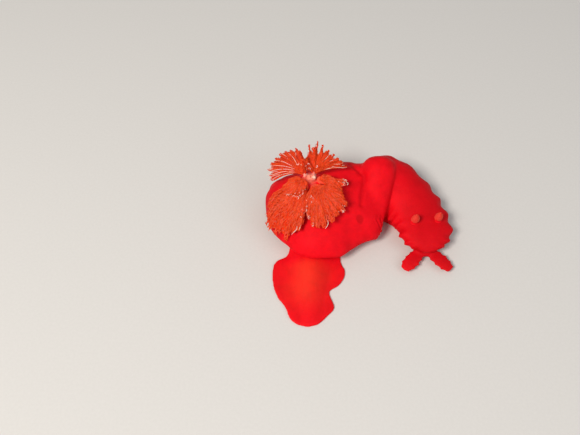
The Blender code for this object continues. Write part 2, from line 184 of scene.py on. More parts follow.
@dataclass
class Shell:
    """A closed surface: points in plan millimetres, and its quads and triangles."""

    points: Array
    quads: Array
    triangles: Array

    @staticmethod
    def of_rings(rings: Array, first: Array, last: Array | None) -> Shell:
        """Joins ring to ring with quads, and each end to a pole.

        Args:
            rings: (n, m, 3) points.
            first: the pole before the first ring.
            last: the pole after the last one; None closes a thin last ring straight across, m being even.

        Returns:
            The shell, facing out.
        """
        n, m = rings.shape[:2]
        index = np.arange(n * m).reshape(n, m)
        turned = np.roll(index, -1, axis=1)
        quads = np.stack([index[:-1], turned[:-1], turned[1:], index[1:]], axis=-1).reshape(-1, 4)
        low = np.stack([turned[0], index[0], np.full(m, n * m)], axis=1)
        if last is None:
            i = np.arange(1, m // 2 - 1)
            across = index[-1][np.stack([i, i + 1, m - 1 - i, m - i], axis=1)]
            corners = index[-1][np.array([[0, 1, m - 1], [m // 2 - 1, m // 2, m // 2 + 1]])]
            points = np.concatenate([rings.reshape(-1, 3), [first]])
            quads = np.concatenate([quads, across])
            return Shell(points, quads, np.concatenate([low, corners])).facing_out()
        high = np.stack([index[-1], turned[-1], np.full(m, n * m + 1)], axis=1)
        points = np.concatenate([rings.reshape(-1, 3), [first], [last]])
        return Shell(points, quads, np.concatenate([low, high])).facing_out()

    @staticmethod
    def joined(shells: list[Shell]) -> Shell:
        """Several shells as one."""
        starts = np.cumsum([0] + [len(s.points) for s in shells[:-1]])
        return Shell(
            np.concatenate([s.points for s in shells]),
            np.concatenate([s.quads + k for s, k in zip(shells, starts)]),
            np.concatenate([s.triangles + k for s, k in zip(shells, starts)]),
        )

    def facing_out(self) -> Shell:
        """Turns the faces round if they face in, by the sign of the volume that they enclose.

        Returns:
            This shell, or the same one with its faces turned.
        """
        corners = np.concatenate([self.triangles, self.quads[:, :3], self.quads[:, [0, 2, 3]]])
        a, b, c = (self.points[corners[:, k]] for k in range(3))
        if np.einsum("ij,ij->", a, np.cross(b, c)) < 0:
            return Shell(self.points, self.quads[:, ::-1], self.triangles[:, ::-1])
        return self

    def to_object(self, name: str) -> bpy.types.Object:
        """Makes a smooth-shaded object at the origin.

        Args:
            name: the object's name.

        Returns:
            The object, in the frame's metres.
        """
        mesh = bpy.data.meshes.new(name)
        corners = np.concatenate([self.quads.ravel(), self.triangles.ravel()])
        sizes = np.repeat([4, 3], [len(self.quads), len(self.triangles)])
        starts = np.concatenate([[0], np.cumsum(sizes)[:-1]])
        mesh.vertices.add(len(self.points))
        mesh.loops.add(len(corners))
        mesh.polygons.add(len(sizes))
        mesh.vertices.foreach_set("co", to_frame(self.points).astype(np.float32).ravel())
        mesh.loops.foreach_set("vertex_index", corners.astype(np.int32))
        mesh.polygons.foreach_set("loop_start", starts.astype(np.int32))
        mesh.update(calc_edges=True)
        mesh.validate()
        mesh.shade_smooth()
        return put_object(name, mesh)


def tubes(
    lines: Array,
    across: Array,
    upright: Array,
    wide: Array,
    thick: Array,
    sides: int,
    tips: Array | None = None,
) -> Shell:
    """Many thin closed tubes at once, each an ellipse carried along its own line.

    Args:
        lines: (n, m, 3) middle lines.
        across: (n, m, 3) unit vectors of the ellipse's width.
        upright: (n, m, 3) unit vectors of its thickness.
        wide: (n, m) half widths.
        thick: (n, m) half thicknesses.
        sides: corners of each ring.
        tips: (n, 3) points that the tubes run out to; without them they end flat.

    Returns:
        The shell. Tube i's ring j starts at point (i * m + j) * sides, and the poles come last, two a tube.
    """
    n, m = lines.shape[:2]
    turn = angles(sides)
    ring = lines[:, :, None] + (wide[..., None, None] * across[:, :, None]) * np.cos(turn)[:, None]
    ring = ring + (thick[..., None, None] * upright[:, :, None]) * np.sin(turn)[:, None]
    index = np.arange(n * m * sides).reshape(n, m, sides)
    turned = np.roll(index, -1, axis=2)
    quads = np.stack([index[:, :-1], turned[:, :-1], turned[:, 1:], index[:, 1:]], axis=-1).reshape(-1, 4)
    poles = n * m * sides + np.arange(2 * n).reshape(n, 2)
    spread = np.broadcast_to(poles[:, None, :], (n, sides, 2))
    low = np.stack([turned[:, 0], index[:, 0], spread[..., 0]], axis=-1)
    high = np.stack([index[:, -1], turned[:, -1], spread[..., 1]], axis=-1)
    ends = np.stack([lines[:, 0], lines[:, -1] if tips is None else tips], axis=1).reshape(-1, 3)
    triangles = np.concatenate([low.reshape(-1, 3), high.reshape(-1, 3)])
    return Shell(np.concatenate([ring.reshape(-1, 3), ends]), quads, triangles).facing_out()


# Finishes


def linear(colour: str) -> tuple[float, float, float, float]:
    """Turns an sRGB colour into the linear values that a shader takes.

    Args:
        colour: the colour, written #rrggbb.

    Returns:
        Red, green, blue and alpha.
    """
    parts = [int(colour[i : i + 2], 16) / 255 for i in (1, 3, 5)]
    r, g, b = (c / 12.92 if c <= 0.04045 else ((c + 0.055) / 1.055) ** 2.4 for c in parts)
    return r, g, b, 1.0


def add_node(
    tree: bpy.types.NodeTree, kind: str, links: dict | None = None, **settings: object
) -> bpy.types.Node:
    """Adds a node.

    Args:
        tree: the material's nodes.
        kind: the node's type.
        links: input name or number to an output socket, or to a plain value.
        settings: the node's own properties.

    Returns:
        The node.
    """
    node = tree.nodes.new(kind)
    for name, value in settings.items():
        setattr(node, name, value)
    for name, value in (links or {}).items():
        if isinstance(value, bpy.types.NodeSocket):
            tree.links.new(value, node.inputs[name])
        else:
            node.inputs[name].default_value = value
    return node


def new_material(name: str) -> tuple[bpy.types.Material, bpy.types.NodeTree, bpy.types.Node]:
    """Makes a plain material.

    Args:
        name: its name.

    Returns:
        The material, its nodes and its shader.
    """
    made = bpy.data.materials.new(name)
    made.use_nodes = True
    return made, made.node_tree, made.node_tree.nodes["Principled BSDF"]


def mixed(
    tree: bpy.types.NodeTree,
    amount: bpy.types.NodeSocket,
    first: bpy.types.NodeSocket | tuple,
    second: bpy.types.NodeSocket | tuple,
) -> bpy.types.NodeSocket:
    """The output of a mix of two colours, each a socket or a plain colour."""
    links = {"Factor": amount, 6: first, 7: second}
    return add_node(tree, "ShaderNodeMix", links, data_type="RGBA").outputs[2]


@dataclass(frozen=True)
class Flesh:
    """Live sea-slug flesh: soft, moist skin that lets light in a little and shines little under water."""

    name: str
    base: str
    deep: str
    warm: str
    pale: str
    roughness: float = 0.62
    specular: float = 0.07
    subsurface: float = 0.22
    subsurface_mm: float = 2.2
    light_reach: tuple = (1.0, 0.25, 0.12)
    grain_mm: float = 1.1
    grain_height_mm: float = 0.10
    grain_strength: float = 0.6
    fleck_span: tuple = (0.56, 0.80)
    fleck_share: float = 0.16
    mottle_mm: float = 9.0
    mottle_span: tuple = (0.42, 0.70)
    mottle_share: float = 0.32

    def material(self) -> bpy.types.Material:
        """Makes mottled flesh whose warm, deep and pale places follow the mesh's attributes of those names.

        Returns:
            The material, made once for each name.
        """
        if self.name in bpy.data.materials:
            return bpy.data.materials[self.name]
        made, tree, shader = new_material(self.name)
        mottle = self._pattern(tree, self.mottle_mm, 5.0, 0.6)
        grain = self._pattern(tree, self.grain_mm, 3.0, 0.55)
        # Broad cloudy patches of the deeper red, as in thick living skin.
        amount = self._share(tree, mottle, self.mottle_span, self.mottle_share)
        colour = mixed(tree, amount, linear(self.base), linear(self.deep))
        for name, shade in (("deep", self.deep), ("warm", self.warm), ("pale", self.pale)):
            amount = add_node(tree, "ShaderNodeAttribute", attribute_name=name).outputs["Fac"]
            colour = mixed(tree, amount, colour, linear(shade))
        # Fine warm flecks, which keep the skin from looking like plastic.
        amount = self._share(tree, grain, self.fleck_span, self.fleck_share)
        colour = mixed(tree, amount, colour, linear(self.warm))
        tree.links.new(colour, shader.inputs["Base Color"])
        # The skin's fine grain breaks up what little shine it has.
        links = {"Height": grain, "Strength": self.grain_strength, "Distance": self.grain_height_mm * MM}
        tree.links.new(add_node(tree, "ShaderNodeBump", links).outputs["Normal"], shader.inputs["Normal"])
        shader.inputs["Roughness"].default_value = self.roughness
        shader.inputs["Specular IOR Level"].default_value = self.specular
        shader.inputs["Subsurface Weight"].default_value = self.subsurface
        shader.inputs["Subsurface Radius"].default_value = self.light_reach
        shader.inputs["Subsurface Scale"].default_value = self.subsurface_mm * MM
        return made

    @staticmethod
    def _pattern(
        tree: bpy.types.NodeTree, size_mm: float, detail: float, roughness: float
    ) -> bpy.types.NodeSocket:
        """Adds a noise pattern in the object's own space.

        Args:
            tree: the material's nodes.
            size_mm: the pattern's real size.
            detail: how much finer noise it holds.
            roughness: how strong the finer noise is.

        Returns:
            The pattern, from 0 to 1.
        """
        place = add_node(tree, "ShaderNodeTexCoord").outputs["Object"]
        links = {"Vector": place, "Scale": 1 / (size_mm * MM), "Detail": detail, "Roughness": roughness}
        return add_node(tree, "ShaderNodeTexNoise", links).outputs["Fac"]

    @staticmethod
    def _share(
        tree: bpy.types.NodeTree, pattern: bpy.types.NodeSocket, span: tuple, most: float
    ) -> bpy.types.NodeSocket:
        """How much of a shade a pattern gives: nothing below the span, and the most above it."""
        links = {"Value": pattern, 1: span[0], 2: span[1], 3: 0.0, 4: most}
        return add_node(tree, "ShaderNodeMapRange", links).outputs[0]


class Finish(Enum):
    """The animal's own finishes."""

    # The saturated red of the mantle and the foot, which glows warmer where the flesh is thin.
    SKIN = Flesh("red_mantle_skin", base="#e60a1a", deep="#ae040e", warm="#f04426", pale="#f08a76")
    # The more orange, finer flesh of the gills, whose stalks and some edges are white.
    GILL = Flesh(
        "orange_gill_plume",
        base="#ff3c16",
        deep="#cc1206",
        warm="#ff5e26",
        pale="#ffe6d8",
        subsurface=0.3,
        subsurface_mm=1.2,
        grain_mm=0.8,
        grain_height_mm=0.04,
    )
    # The pink flesh of the papilla, and the cream of the painted highlight on it.
    PALE = Flesh("pale_papilla_flesh", base="#f0806a", deep="#e2402c", warm="#f2937c", pale="#fbdcc0")


def dress(mesh: bpy.types.Mesh, finish: Finish, pale: Array, warm: Array, deep: Array) -> None:
    """Gives a mesh its finish, and stores how pale, warm and deep the flesh is at each vertex.

    Args:
        mesh: the piece's mesh.
        finish: what it is made of.
        pale: how pale, from 0 to 1.
        warm: how warm, from 0 to 1.
        deep: how deep, from 0 to 1.
    """
    for name, values in (("pale", pale), ("warm", warm), ("deep", deep)):
        mesh.attributes.new(name, "FLOAT", "POINT").data.foreach_set("value", values.astype(np.float32))
    mesh.materials.append(finish.value.material())


@dataclass(frozen=True)
class PlainFloor:
    """A studio floor: matt pale card, one even tone with a faint tooth so that it isn't a flat colour."""

    colour: str = "#cfccc7"
    tooth_colour: str = "#d6d3ce"
    tooth_mm: float = 2.5
    roughness: float = 0.9
    side_mm: float = 6000.0
    drop_mm: float = 0.1

    def build(self) -> bpy.types.Object:
        """Makes the floor, a little under the sole.

        Returns:
            The floor, kept out of the model.
        """
        bpy.ops.mesh.primitive_plane_add(size=self.side_mm * MM, location=(0, 0, -self.drop_mm * MM))
        floor = bpy.context.object
        floor.name = "studio_floor"
        made, tree, shader = new_material("pale_card")
        place = add_node(tree, "ShaderNodeTexCoord").outputs["Object"]
        links = {"Vector": place, "Scale": 1 / (self.tooth_mm * MM), "Detail": 2.0}
        tooth = add_node(tree, "ShaderNodeTexNoise", links).outputs["Fac"]
        # Two near shades of card, so that the floor has a paper's tooth.
        shade = mixed(tree, tooth, linear(self.colour), linear(self.tooth_colour))
        tree.links.new(shade, shader.inputs["Base Color"])
        shader.inputs["Roughness"].default_value = self.roughness
        floor.data.materials.append(made)
        return floor


# The body


@dataclass
class Foot:
    """The foot: its free rear lobe, and the creeping sole under the mantle.

    The outline's rows are y, left x and right x. The line is the sole's middle in plan.
    """

    outline: tuple = (
        (-22.0, -58.5, -7.0),
        (-27.0, -62.0, -6.5),
        (-31.0, -69.5, -6.4),
        (-36.0, -73.3, -5.6),
        (-42.0, -74.6, -2.6),
        (-49.0, -75.0, -3.2),
        (-56.0, -74.4, -6.6),
        (-61.0, -73.4, -11.2),
        (-64.5, -72.6, -17.4),
        (-68.0, -71.2, -18.8),
        (-74.0, -68.6, -17.2),
        (-80.0, -64.0, -15.2),
        (-86.0, -60.8, -15.6),
        (-92.0, -59.0, -21.2),
        (-97.5, -55.4, -26.4),
        (-101.5, -50.0, -31.6),
    )
    tip: tuple = (-40.5, -104.2)
    flange: float = 2.4
    core_height: tuple = (11.2, 2.9)
    core_half_width: tuple = (25.0, 9.0)
    core_middle: tuple = (-36.0, -38.5)
    core_start: float = -22.0
    core_length: float = 80.0
    overlap: tuple = (14.0, 2.0, -2.0)
    line: tuple = (
        (-32.8, -20.0),
        (-32.8, -7.0),
        (-26.0, 14.0),
        (-8.0, 32.0),
        (16.0, 38.0),
        (40.0, 34.0),
        (58.0, 23.0),
        (69.0, 8.0),
        (73.5, -5.0),
    )
    half_width: tuple = (25.0, 18.0, 15.5)
    top: float = 14.5
    front_round: float = 14.0

    def _along(self, y: Array) -> Array:
        """How far down the tail each y is, from 0 at its start to 1."""
        return np.clip((self.core_start - y) / self.core_length, 0, 1)

    def _core(self, x: Array, y: Array) -> Array:
        """How far up the tail's raised middle each place is: (1 - ((x - middle) / half width)^2)^1.5.

        Args:
            x: places across, (n, m).
            y: places along, (n, 1).

        Returns:
            Values from 0 on the flange to 1 on the ridge, (n, m).
        """
        middle = np.interp(self._along(y), (0, 1), self.core_middle)
        half = np.interp(self._along(y), (0, 1), self.core_half_width)
        return np.clip(1 - ((x - middle) / half) ** 2, 0, 1) ** 1.5

    def tail(self) -> Shell:
        """Makes the rear lobe: each section is a thin flange with a round rim, plus the raised core.

        Returns:
            The lobe, whose first section lies a little inside the mantle.
        """
        table = through(np.array(self.outline), 120)
        table = np.concatenate([table[:1] + self.overlap, table])
        across = np.linspace(-1, 1, 91)
        y, left, right = (column[:, None] for column in table.T)
        half, middle = (right - left) / 2, (right + left) / 2
        x = middle + half * np.sin(across * np.pi / 2)
        height = np.interp(self._along(y), (0, 0.35, 1), (self.core_height[0], *self.core_height))
        ripple = 0.35 * np.sin(y / 4.1 + 2.2 * np.sign(across)) * np.abs(across) ** 4
        rim = self.flange * (0.55 + 0.45 * (1 - np.abs(across) ** 8)) + ripple
        z = rim + (height - self.flange) * self._core(x, y)
        top = np.stack([x, np.broadcast_to(y, x.shape), z], axis=-1)
        under = np.linspace(0.975, -0.975, 60)
        x = middle + half * under
        bottom = np.stack([x, np.broadcast_to(y, x.shape), np.zeros_like(x)], axis=-1)
        rings = np.concatenate([top, bottom], axis=1)
        first = rings[0].mean(axis=0)
        return Shell.of_rings(rings, first, np.array([*self.tip, self.flange / 3]))

    def sole(self) -> Shell:
        """Makes the foot under the mantle: a flared flat slab carried along its line, with a round front.

        Returns:
            The slab, whose top lies inside the mantle.
        """
        line = through(np.array(self.line), 90)
        side = sideways(line)
        width = np.interp(np.linspace(0, 2, 90), (0, 1, 2), self.half_width)[:, None]
        from_front = np.linalg.norm(line - line[-1], axis=1)[:, None]
        short = 1 - np.clip(from_front / self.front_round, 0, 1)
        width = width * np.sqrt(np.maximum(1 - short**2, 0.02))
        share = np.array([-0.96, -1, -0.97, -0.9, -0.8, 0.8, 0.9, 0.97, 1, 0.96])
        level = np.array([0, 1.2, 5, 9.5, self.top, self.top, 9.5, 5, 1.2, 0])
        flat = line[:, None] - side[:, None] * (share * width)[..., None]
        rings = np.concatenate([flat, np.broadcast_to(level[:, None], (90, 10, 1))], axis=-1)
        return Shell.of_rings(rings, rings[0].mean(axis=0), rings[-1].mean(axis=0))


@dataclass
class Mantle:
    """The spread back: the rear dome under the gills, the high pleat, and the front vault over the head.

    Edges and the pleat's line are rows of x, y and height. The front's sizes go with its line's points.
    """

    rim_thickness: float = 2.6
    floor: float = 12.0
    rear_edge: tuple = (
        (-59.5, -22.5, 13.5),
        (-72.0, -8.0, 10.5),
        (-79.0, 6.0, 9.5),
        (-81.5, 22.0, 9.5),
        (-82.0, 36.0, 9.0),
        (-77.0, 47.0, 9.0),
        (-66.0, 54.0, 9.0),
        (-49.0, 61.0, 8.5),
        (-27.0, 70.0, 8.5),
        (0.0, 76.5, 8.5),
        (16.0, 73.0, 9.0),
        (30.0, 70.0, 11.0),
        (41.0, 60.0, 13.0),
        (44.0, 40.0, 14.0),
        (38.0, 12.0, 14.0),
        (30.5, -11.5, 13.5),
        (17.0, -18.5, 14.0),
        (4.0, -27.0, 14.5),
        (-7.0, -36.0, 15.5),
        (-22.0, -38.5, 16.5),
        (-38.0, -38.5, 16.5),
        (-50.0, -33.0, 15.5),
    )
    rear_top: tuple = (-22.0, 25.0, 48.5)
    pleat_line: tuple = (
        (27.0, -13.0, 13.0),
        (26.5, -4.0, 17.5),
        (26.8, 10.0, 25.0),
        (28.3, 24.0, 33.0),
        (31.5, 40.0, 41.0),
        (34.0, 55.0, 43.0),
        (35.5, 68.0, 33.5),
        (36.5, 80.0, 17.0),
    )
    pleat_radius: tuple = (2.6, 6.2, 9.4, 11.4, 12.2, 12.0, 10.0, 5.0)
    pleat_flatness: float = 1.16
    easing_allowance: float = 0.9
    crest_allowance: float = 1.2
    frill_depth: float = 1.7
    frill_start: tuple = (30.0, 52.0)
    rear_frills: int = 23
    front_frills: int = 9
    front_line: tuple = (
        (29.0, 43.5),
        (39.0, 41.5),
        (52.0, 36.0),
        (64.0, 25.0),
        (72.0, 11.0),
        (76.0, -4.0),
        (77.5, -16.0),
        (78.0, -24.0),
        (78.0, -29.0),
    )
    front_outside: tuple = (38, 40.5, 36.5, 32, 29.5, 28, 24.5, 16.5, 5)
    front_inside: tuple = (26, 26, 26, 26, 26, 25.5, 23, 16, 5)
    front_height: tuple = (46, 47, 43, 37, 31.5, 27.5, 24.5, 21, 17.5)
    front_edge_height: tuple = (9, 9, 10, 11, 12.5, 14, 14.5, 15, 15)
    crest_shift: tuple = (0.34, 0.34, 0.28, 0.18, 0.08, 0.0, 0.0, 0.0, 0.0)

    def rear(self) -> Shell:
        """Makes the rear dome: straight in plan from its free edge to its top, a superellipse in height.

        On the far side the free edge waves in and out, and up and down, and its folds fade up the dome.

        Returns:
            The dome, closed underneath.
        """
        edge = through(np.array(self.rear_edge), 420, closed=True)
        turn = angles(420)
        phase = self.rear_frills * turn + 1.1 * np.sin(3 * turn + 1) + 0.7 * np.sin(7 * turn)
        top = np.array(self.rear_top)
        outward = unit(edge[:, :2] - top[:2])
        depth = self.frill_depth * smooth_step(*self.frill_start, edge[:, 1])
        wave = depth[:, None] * np.column_stack([outward * np.cos(phase)[:, None], np.sin(phase)])
        edge[:, 2] += 0.25 * np.sin(phase)
        steep = np.interp(edge[:, 1], (-30, 25), (1.75, 2.5))[None]
        share = np.linspace(0, 1, 60)[:-1, None] ** 1.8
        start = edge[None, :, 2] + self.rim_thickness / 2
        z = start + (top[2] - start) * dome(share, steep)
        plan = edge[None, :, :2] + (top[:2] - edge[None, :, :2]) * np.maximum(share, 0.002)[..., None]
        upper = np.concatenate([plan, z[..., None]], axis=-1)
        upper += wave * (np.clip(1 - share / 0.4, 0, 1) ** 2)[..., None]
        under_share = np.array([0.97, 0.7, 0.4, 0.24, 0.16, 0.10, 0.05, 0.015])[:, None]
        level = np.array([1, 1, 1, 1, 0.8, 0.45, 0.15, 0])[:, None]
        low = edge[None, :, 2] - self.rim_thickness / 2
        plan = edge[None, :, :2] + (top[:2] - edge[None, :, :2]) * under_share[..., None]
        lower = np.concatenate([plan, (low + (self.floor - low) * level)[..., None]], axis=-1)
        lower += wave * smooth_step(0.2, 0.03, under_share)[..., None]
        rings = np.concatenate([lower, upper])
        return Shell.of_rings(rings, np.array([top[0], top[1], self.floor]), top)

    def pleat(self) -> Shell:
        """Makes the pleat: a tube carried along its line, a little wider than tall.

        Its radius has what the easing of the skin takes off added.

        Returns:
            The tube, whose ends lie inside the back.
        """
        line = through(np.array(self.pleat_line), 160)
        radius = through(np.array(self.pleat_radius)[:, None], 160)[:, :, None]
        extra = self.easing_allowance * smooth_step(20, 35, line[:, 2])
        extra += self.crest_allowance * smooth_step(37, 43, line[:, 2])
        radius = radius + extra[:, None, None]
        turn = angles(72)[:, None]
        side = np.column_stack([sideways(line), np.zeros(160)])[:, None]
        wide = self.pleat_flatness * np.cos(turn)
        rings = line[:, None] + radius * (wide * side + np.sin(turn) * np.array([0, 0, 1.0]))
        return Shell.of_rings(rings, line[0] + (0, -1.5, -0.6), line[-1] + (0, 3.5, -4))

    def front(self) -> Shell:
        """Makes the front vault: superellipse arches along its line, their crest outside the line's middle.

        Its free edges wave as the rear's does, and the folds fade up the vault.

        Returns:
            The vault, closed underneath.
        """
        count = 200
        line = through(np.array(self.front_line), count)
        side = sideways(line)[:, None]
        columns = [self.front_outside, self.front_inside, self.front_height, self.front_edge_height]
        sizes = through(np.array([*columns, self.crest_shift], float).T, count)
        outside, inside, height, edge, shift = (c[:, None] for c in sizes.T)
        along = np.linspace(0, 1, count)[:, None]
        phase = 2 * np.pi * self.front_frills * along + np.sin(14 * along)
        depth = self.frill_depth * smooth_step(0.0, 0.2, along) * smooth_step(1.0, 0.9, along)
        across = np.sin(np.linspace(-1, 1, 121) * np.pi / 2)[None]
        width = np.where(across > 0, outside, inside)
        start = edge + self.rim_thickness / 2
        away = np.where(across > shift, (across - shift) / (1 - shift), (shift - across) / (1 + shift))
        power = np.where(across > shift, 2.2, 2.1 - 1.6 * shift)
        wave = depth * smooth_step(0.6, 1.0, np.abs(across))
        z = start + (height - start) * dome(1 - away, power) + wave * np.sin(phase)
        reach = across * width + np.sign(across) * wave * np.cos(phase)
        upper = np.concatenate([line[:, None] + side * reach[..., None], z[..., None]], axis=-1)
        share = np.array([0.99, 0.92, 0.83, -0.83, -0.92, -0.99])[None]
        level = np.array([0, 0.6, 1, 1, 0.6, 0])[None]
        low = edge - self.rim_thickness / 2
        width = np.where(share > 0, outside, inside)
        wave = depth * smooth_step(0.75, 1.0, np.abs(share))
        reach = share * width + np.sign(share) * wave * np.cos(phase)
        z = low + (self.floor - low) * level + wave * np.sin(phase)
        lower = np.concatenate([line[:, None] + side * reach[..., None], z[..., None]], axis=-1)
        rings = np.concatenate([upper, lower], axis=1)
        nose = np.array([*self.front_line[-1], self.front_edge_height[-1]]) + (0, -1.5, 0)
        return Shell.of_rings(rings, rings[0].mean(axis=0), nose)


@dataclass
class Head:
    """The head under the mantle's front, and the two flat scalloped oral tentacles."""

    middle: tuple = (77.0, -18.0, 6.6)
    half_size: tuple = (12.0, 11.0, 4.9)
    tentacle_length: float = 28.0
    fullness: float = 2.4
    crown: float = 1.5
    tentacle_half_width: float = 9.5
    tentacle_way: tuple = (0.66, -0.75)
    tentacle_level: float = 5.6
    tentacle_thickness: tuple = (2.2, 1.1)
    scallop: float = 0.09
    scallop_pace: float = 26.0

    def lump(self) -> Shell:
        """Makes the head: stacked superellipses, reaching up into the mantle.

        Returns:
            The head without its tentacles.
        """
        turn = angles(96)[None]
        rise = np.sin(np.linspace(-1, 1, 42)[1:-1] * np.pi / 2)[:, None]
        reach = (1 - np.abs(rise) ** self.fullness) ** (1 / self.fullness)
        bend = 2 / self.fullness
        x = self.half_size[0] * reach * np.sign(np.cos(turn)) * np.abs(np.cos(turn)) ** bend
        y = self.half_size[1] * reach * np.sign(np.sin(turn)) * np.abs(np.sin(turn)) ** bend
        z = self.half_size[2] * rise + np.zeros_like(x)
        z = np.where(z > 0, z * self.crown, z)
        rings = np.stack([x, y, z], axis=-1) + np.array(self.middle)
        low = np.array(self.middle) - (0, 0, self.half_size[2])
        high = np.array(self.middle) + (0, 0, self.crown * self.half_size[2])
        return Shell.of_rings(rings, low, high)

    def tentacle(self, side: int) -> Shell:
        """Makes one tentacle: a flat ear of elliptic sections, whose width swells, tapers and is scalloped.

        Args:
            side: -1 for the animal's right one, 1 for its left one.

        Returns:
            The tentacle.
        """
        t = np.linspace(0, 1, 90)[:, None]
        start = np.array([self.middle[0] + side * 4.0, self.middle[1] - self.half_size[1] * 0.45])
        course = np.array([side * self.tentacle_way[0], self.tentacle_way[1]])
        normal = np.array([-course[1], course[0]])
        turn = angles(72)[None]
        wave = np.sin(t * self.scallop_pace)
        wide = self.tentacle_half_width * (0.5 + 0.85 * t - 0.8 * t**3) * (1 + self.scallop * wave)
        thick = self.tentacle_thickness[0] - self.tentacle_thickness[1] * t
        aside = normal * (np.cos(turn) * wide)[..., None]
        plan = start + course * self.tentacle_length * t[..., None] + aside
        z = self.tentacle_level + 1.2 * np.sin(t * 3.0) + thick * np.sin(turn) + 0.5 * np.cos(turn) * wave
        rings = np.concatenate([plan, z[..., None]], axis=-1)
        tip = np.array([*(start + course * (self.tentacle_length + 1.5)), self.tentacle_level])
        return Shell.of_rings(rings, rings[0].mean(axis=0), tip)


@dataclass
class GillBed:
    """The round bed on the back that the gills spring from, and the papilla in its middle.

    The slope's rows are a share of the radius and a height. The papilla's are a share of its radius and a
    height above the bed.
    """

    middle: tuple = (-37.0, 29.0)
    top: float = 54.0
    radius: float = 13.0
    slope: tuple = (
        (1.6, 34.0),
        (1.35, 42.0),
        (1.15, 47.0),
        (1.0, 50.5),
        (0.92, 52.2),
        (0.84, 53.4),
        (0.72, 54.0),
        (0.4, 54.2),
    )
    papilla_profile: tuple = (
        (1.3, -1.5),
        (1.08, 0.8),
        (0.98, 2.6),
        (0.98, 4.0),
        (0.9, 5.4),
        (0.7, 6.4),
        (0.42, 6.6),
        (0.18, 5.2),
    )
    papilla_height: float = 6.6
    papilla_radius: float = 4.2
    papilla_lean: tuple = (0.9, -1.2)
    stalk_ring: float = 7.4

    def mound(self) -> Shell:
        """Makes the bed: a low turned mound, by its slope of radius and height, that runs out into the back.

        Returns:
            The mound.
        """
        turn = angles(96)[None]
        share, z = np.array(self.slope).T[:, :, None]
        x = self.middle[0] + self.radius * share * np.cos(turn)
        y = self.middle[1] + self.radius * share * np.sin(turn)
        rings = np.stack([x, y, z + np.zeros_like(x)], axis=-1)
        poles = (np.array([*self.middle, z[0, 0]]), np.array([*self.middle, self.top]))
        return Shell.of_rings(rings, *poles)

    def papilla(self) -> bpy.types.Object:
        """Makes the papilla: a soft turned tube with a rolled rim, uneven all round.

        The radius is profile * (1 + folds), and each ring slides towards the front right as it rises.

        Returns:
            The papilla, dressed.
        """
        profile = through(np.array(self.papilla_profile), 60)
        turn = angles(96)[None]
        folds = 0.07 * np.cos(turn * 2 + 0.6) + 0.05 * np.cos(turn * 5) + 0.03 * np.cos(turn * 9 + 1.0)
        radius = profile[:, :1] * self.papilla_radius * (1 + folds)
        rise = np.clip(profile[:, 1:], 0, None) / self.papilla_height
        x = radius * np.cos(turn) + self.papilla_lean[0] * rise**2
        y = radius * np.sin(turn) + self.papilla_lean[1] * rise**2
        z = profile[:, 1:] + 0.5 * np.sin(turn * 3) * rise
        rings = np.stack([x, y, z], axis=-1) + (*self.middle, self.top)
        poles = (rings[0].mean(axis=0), rings[-1].mean(axis=0) - (0, 0, 0.8))
        made = Shell.of_rings(rings, *poles).to_object("anal_papilla_tube")
        height = np.concatenate([np.broadcast_to(profile[:, 1:], x.shape).ravel(), [-1.5, 4.0]])
        around = np.concatenate([np.broadcast_to(turn, x.shape).ravel(), [0, 0]])
        # Painted highlight: cream on the right side, a little towards the front, rising towards the top; the
        # left half is warmer near the top, and the flesh is deeper red towards its foot.
        painted_highlight = smooth_step(2.0, 6.0, height) * (0.05 + 0.8 * np.clip(np.cos(around + 0.3), 0, 1) ** 3)
        warm = 0.5 * smooth_step(3.0, 6.0, height) * (np.cos(around) < 0)
        dress(made.data, Finish.PALE, painted_highlight, warm, 0.8 * smooth_step(2.6, -1.0, height))
        return made


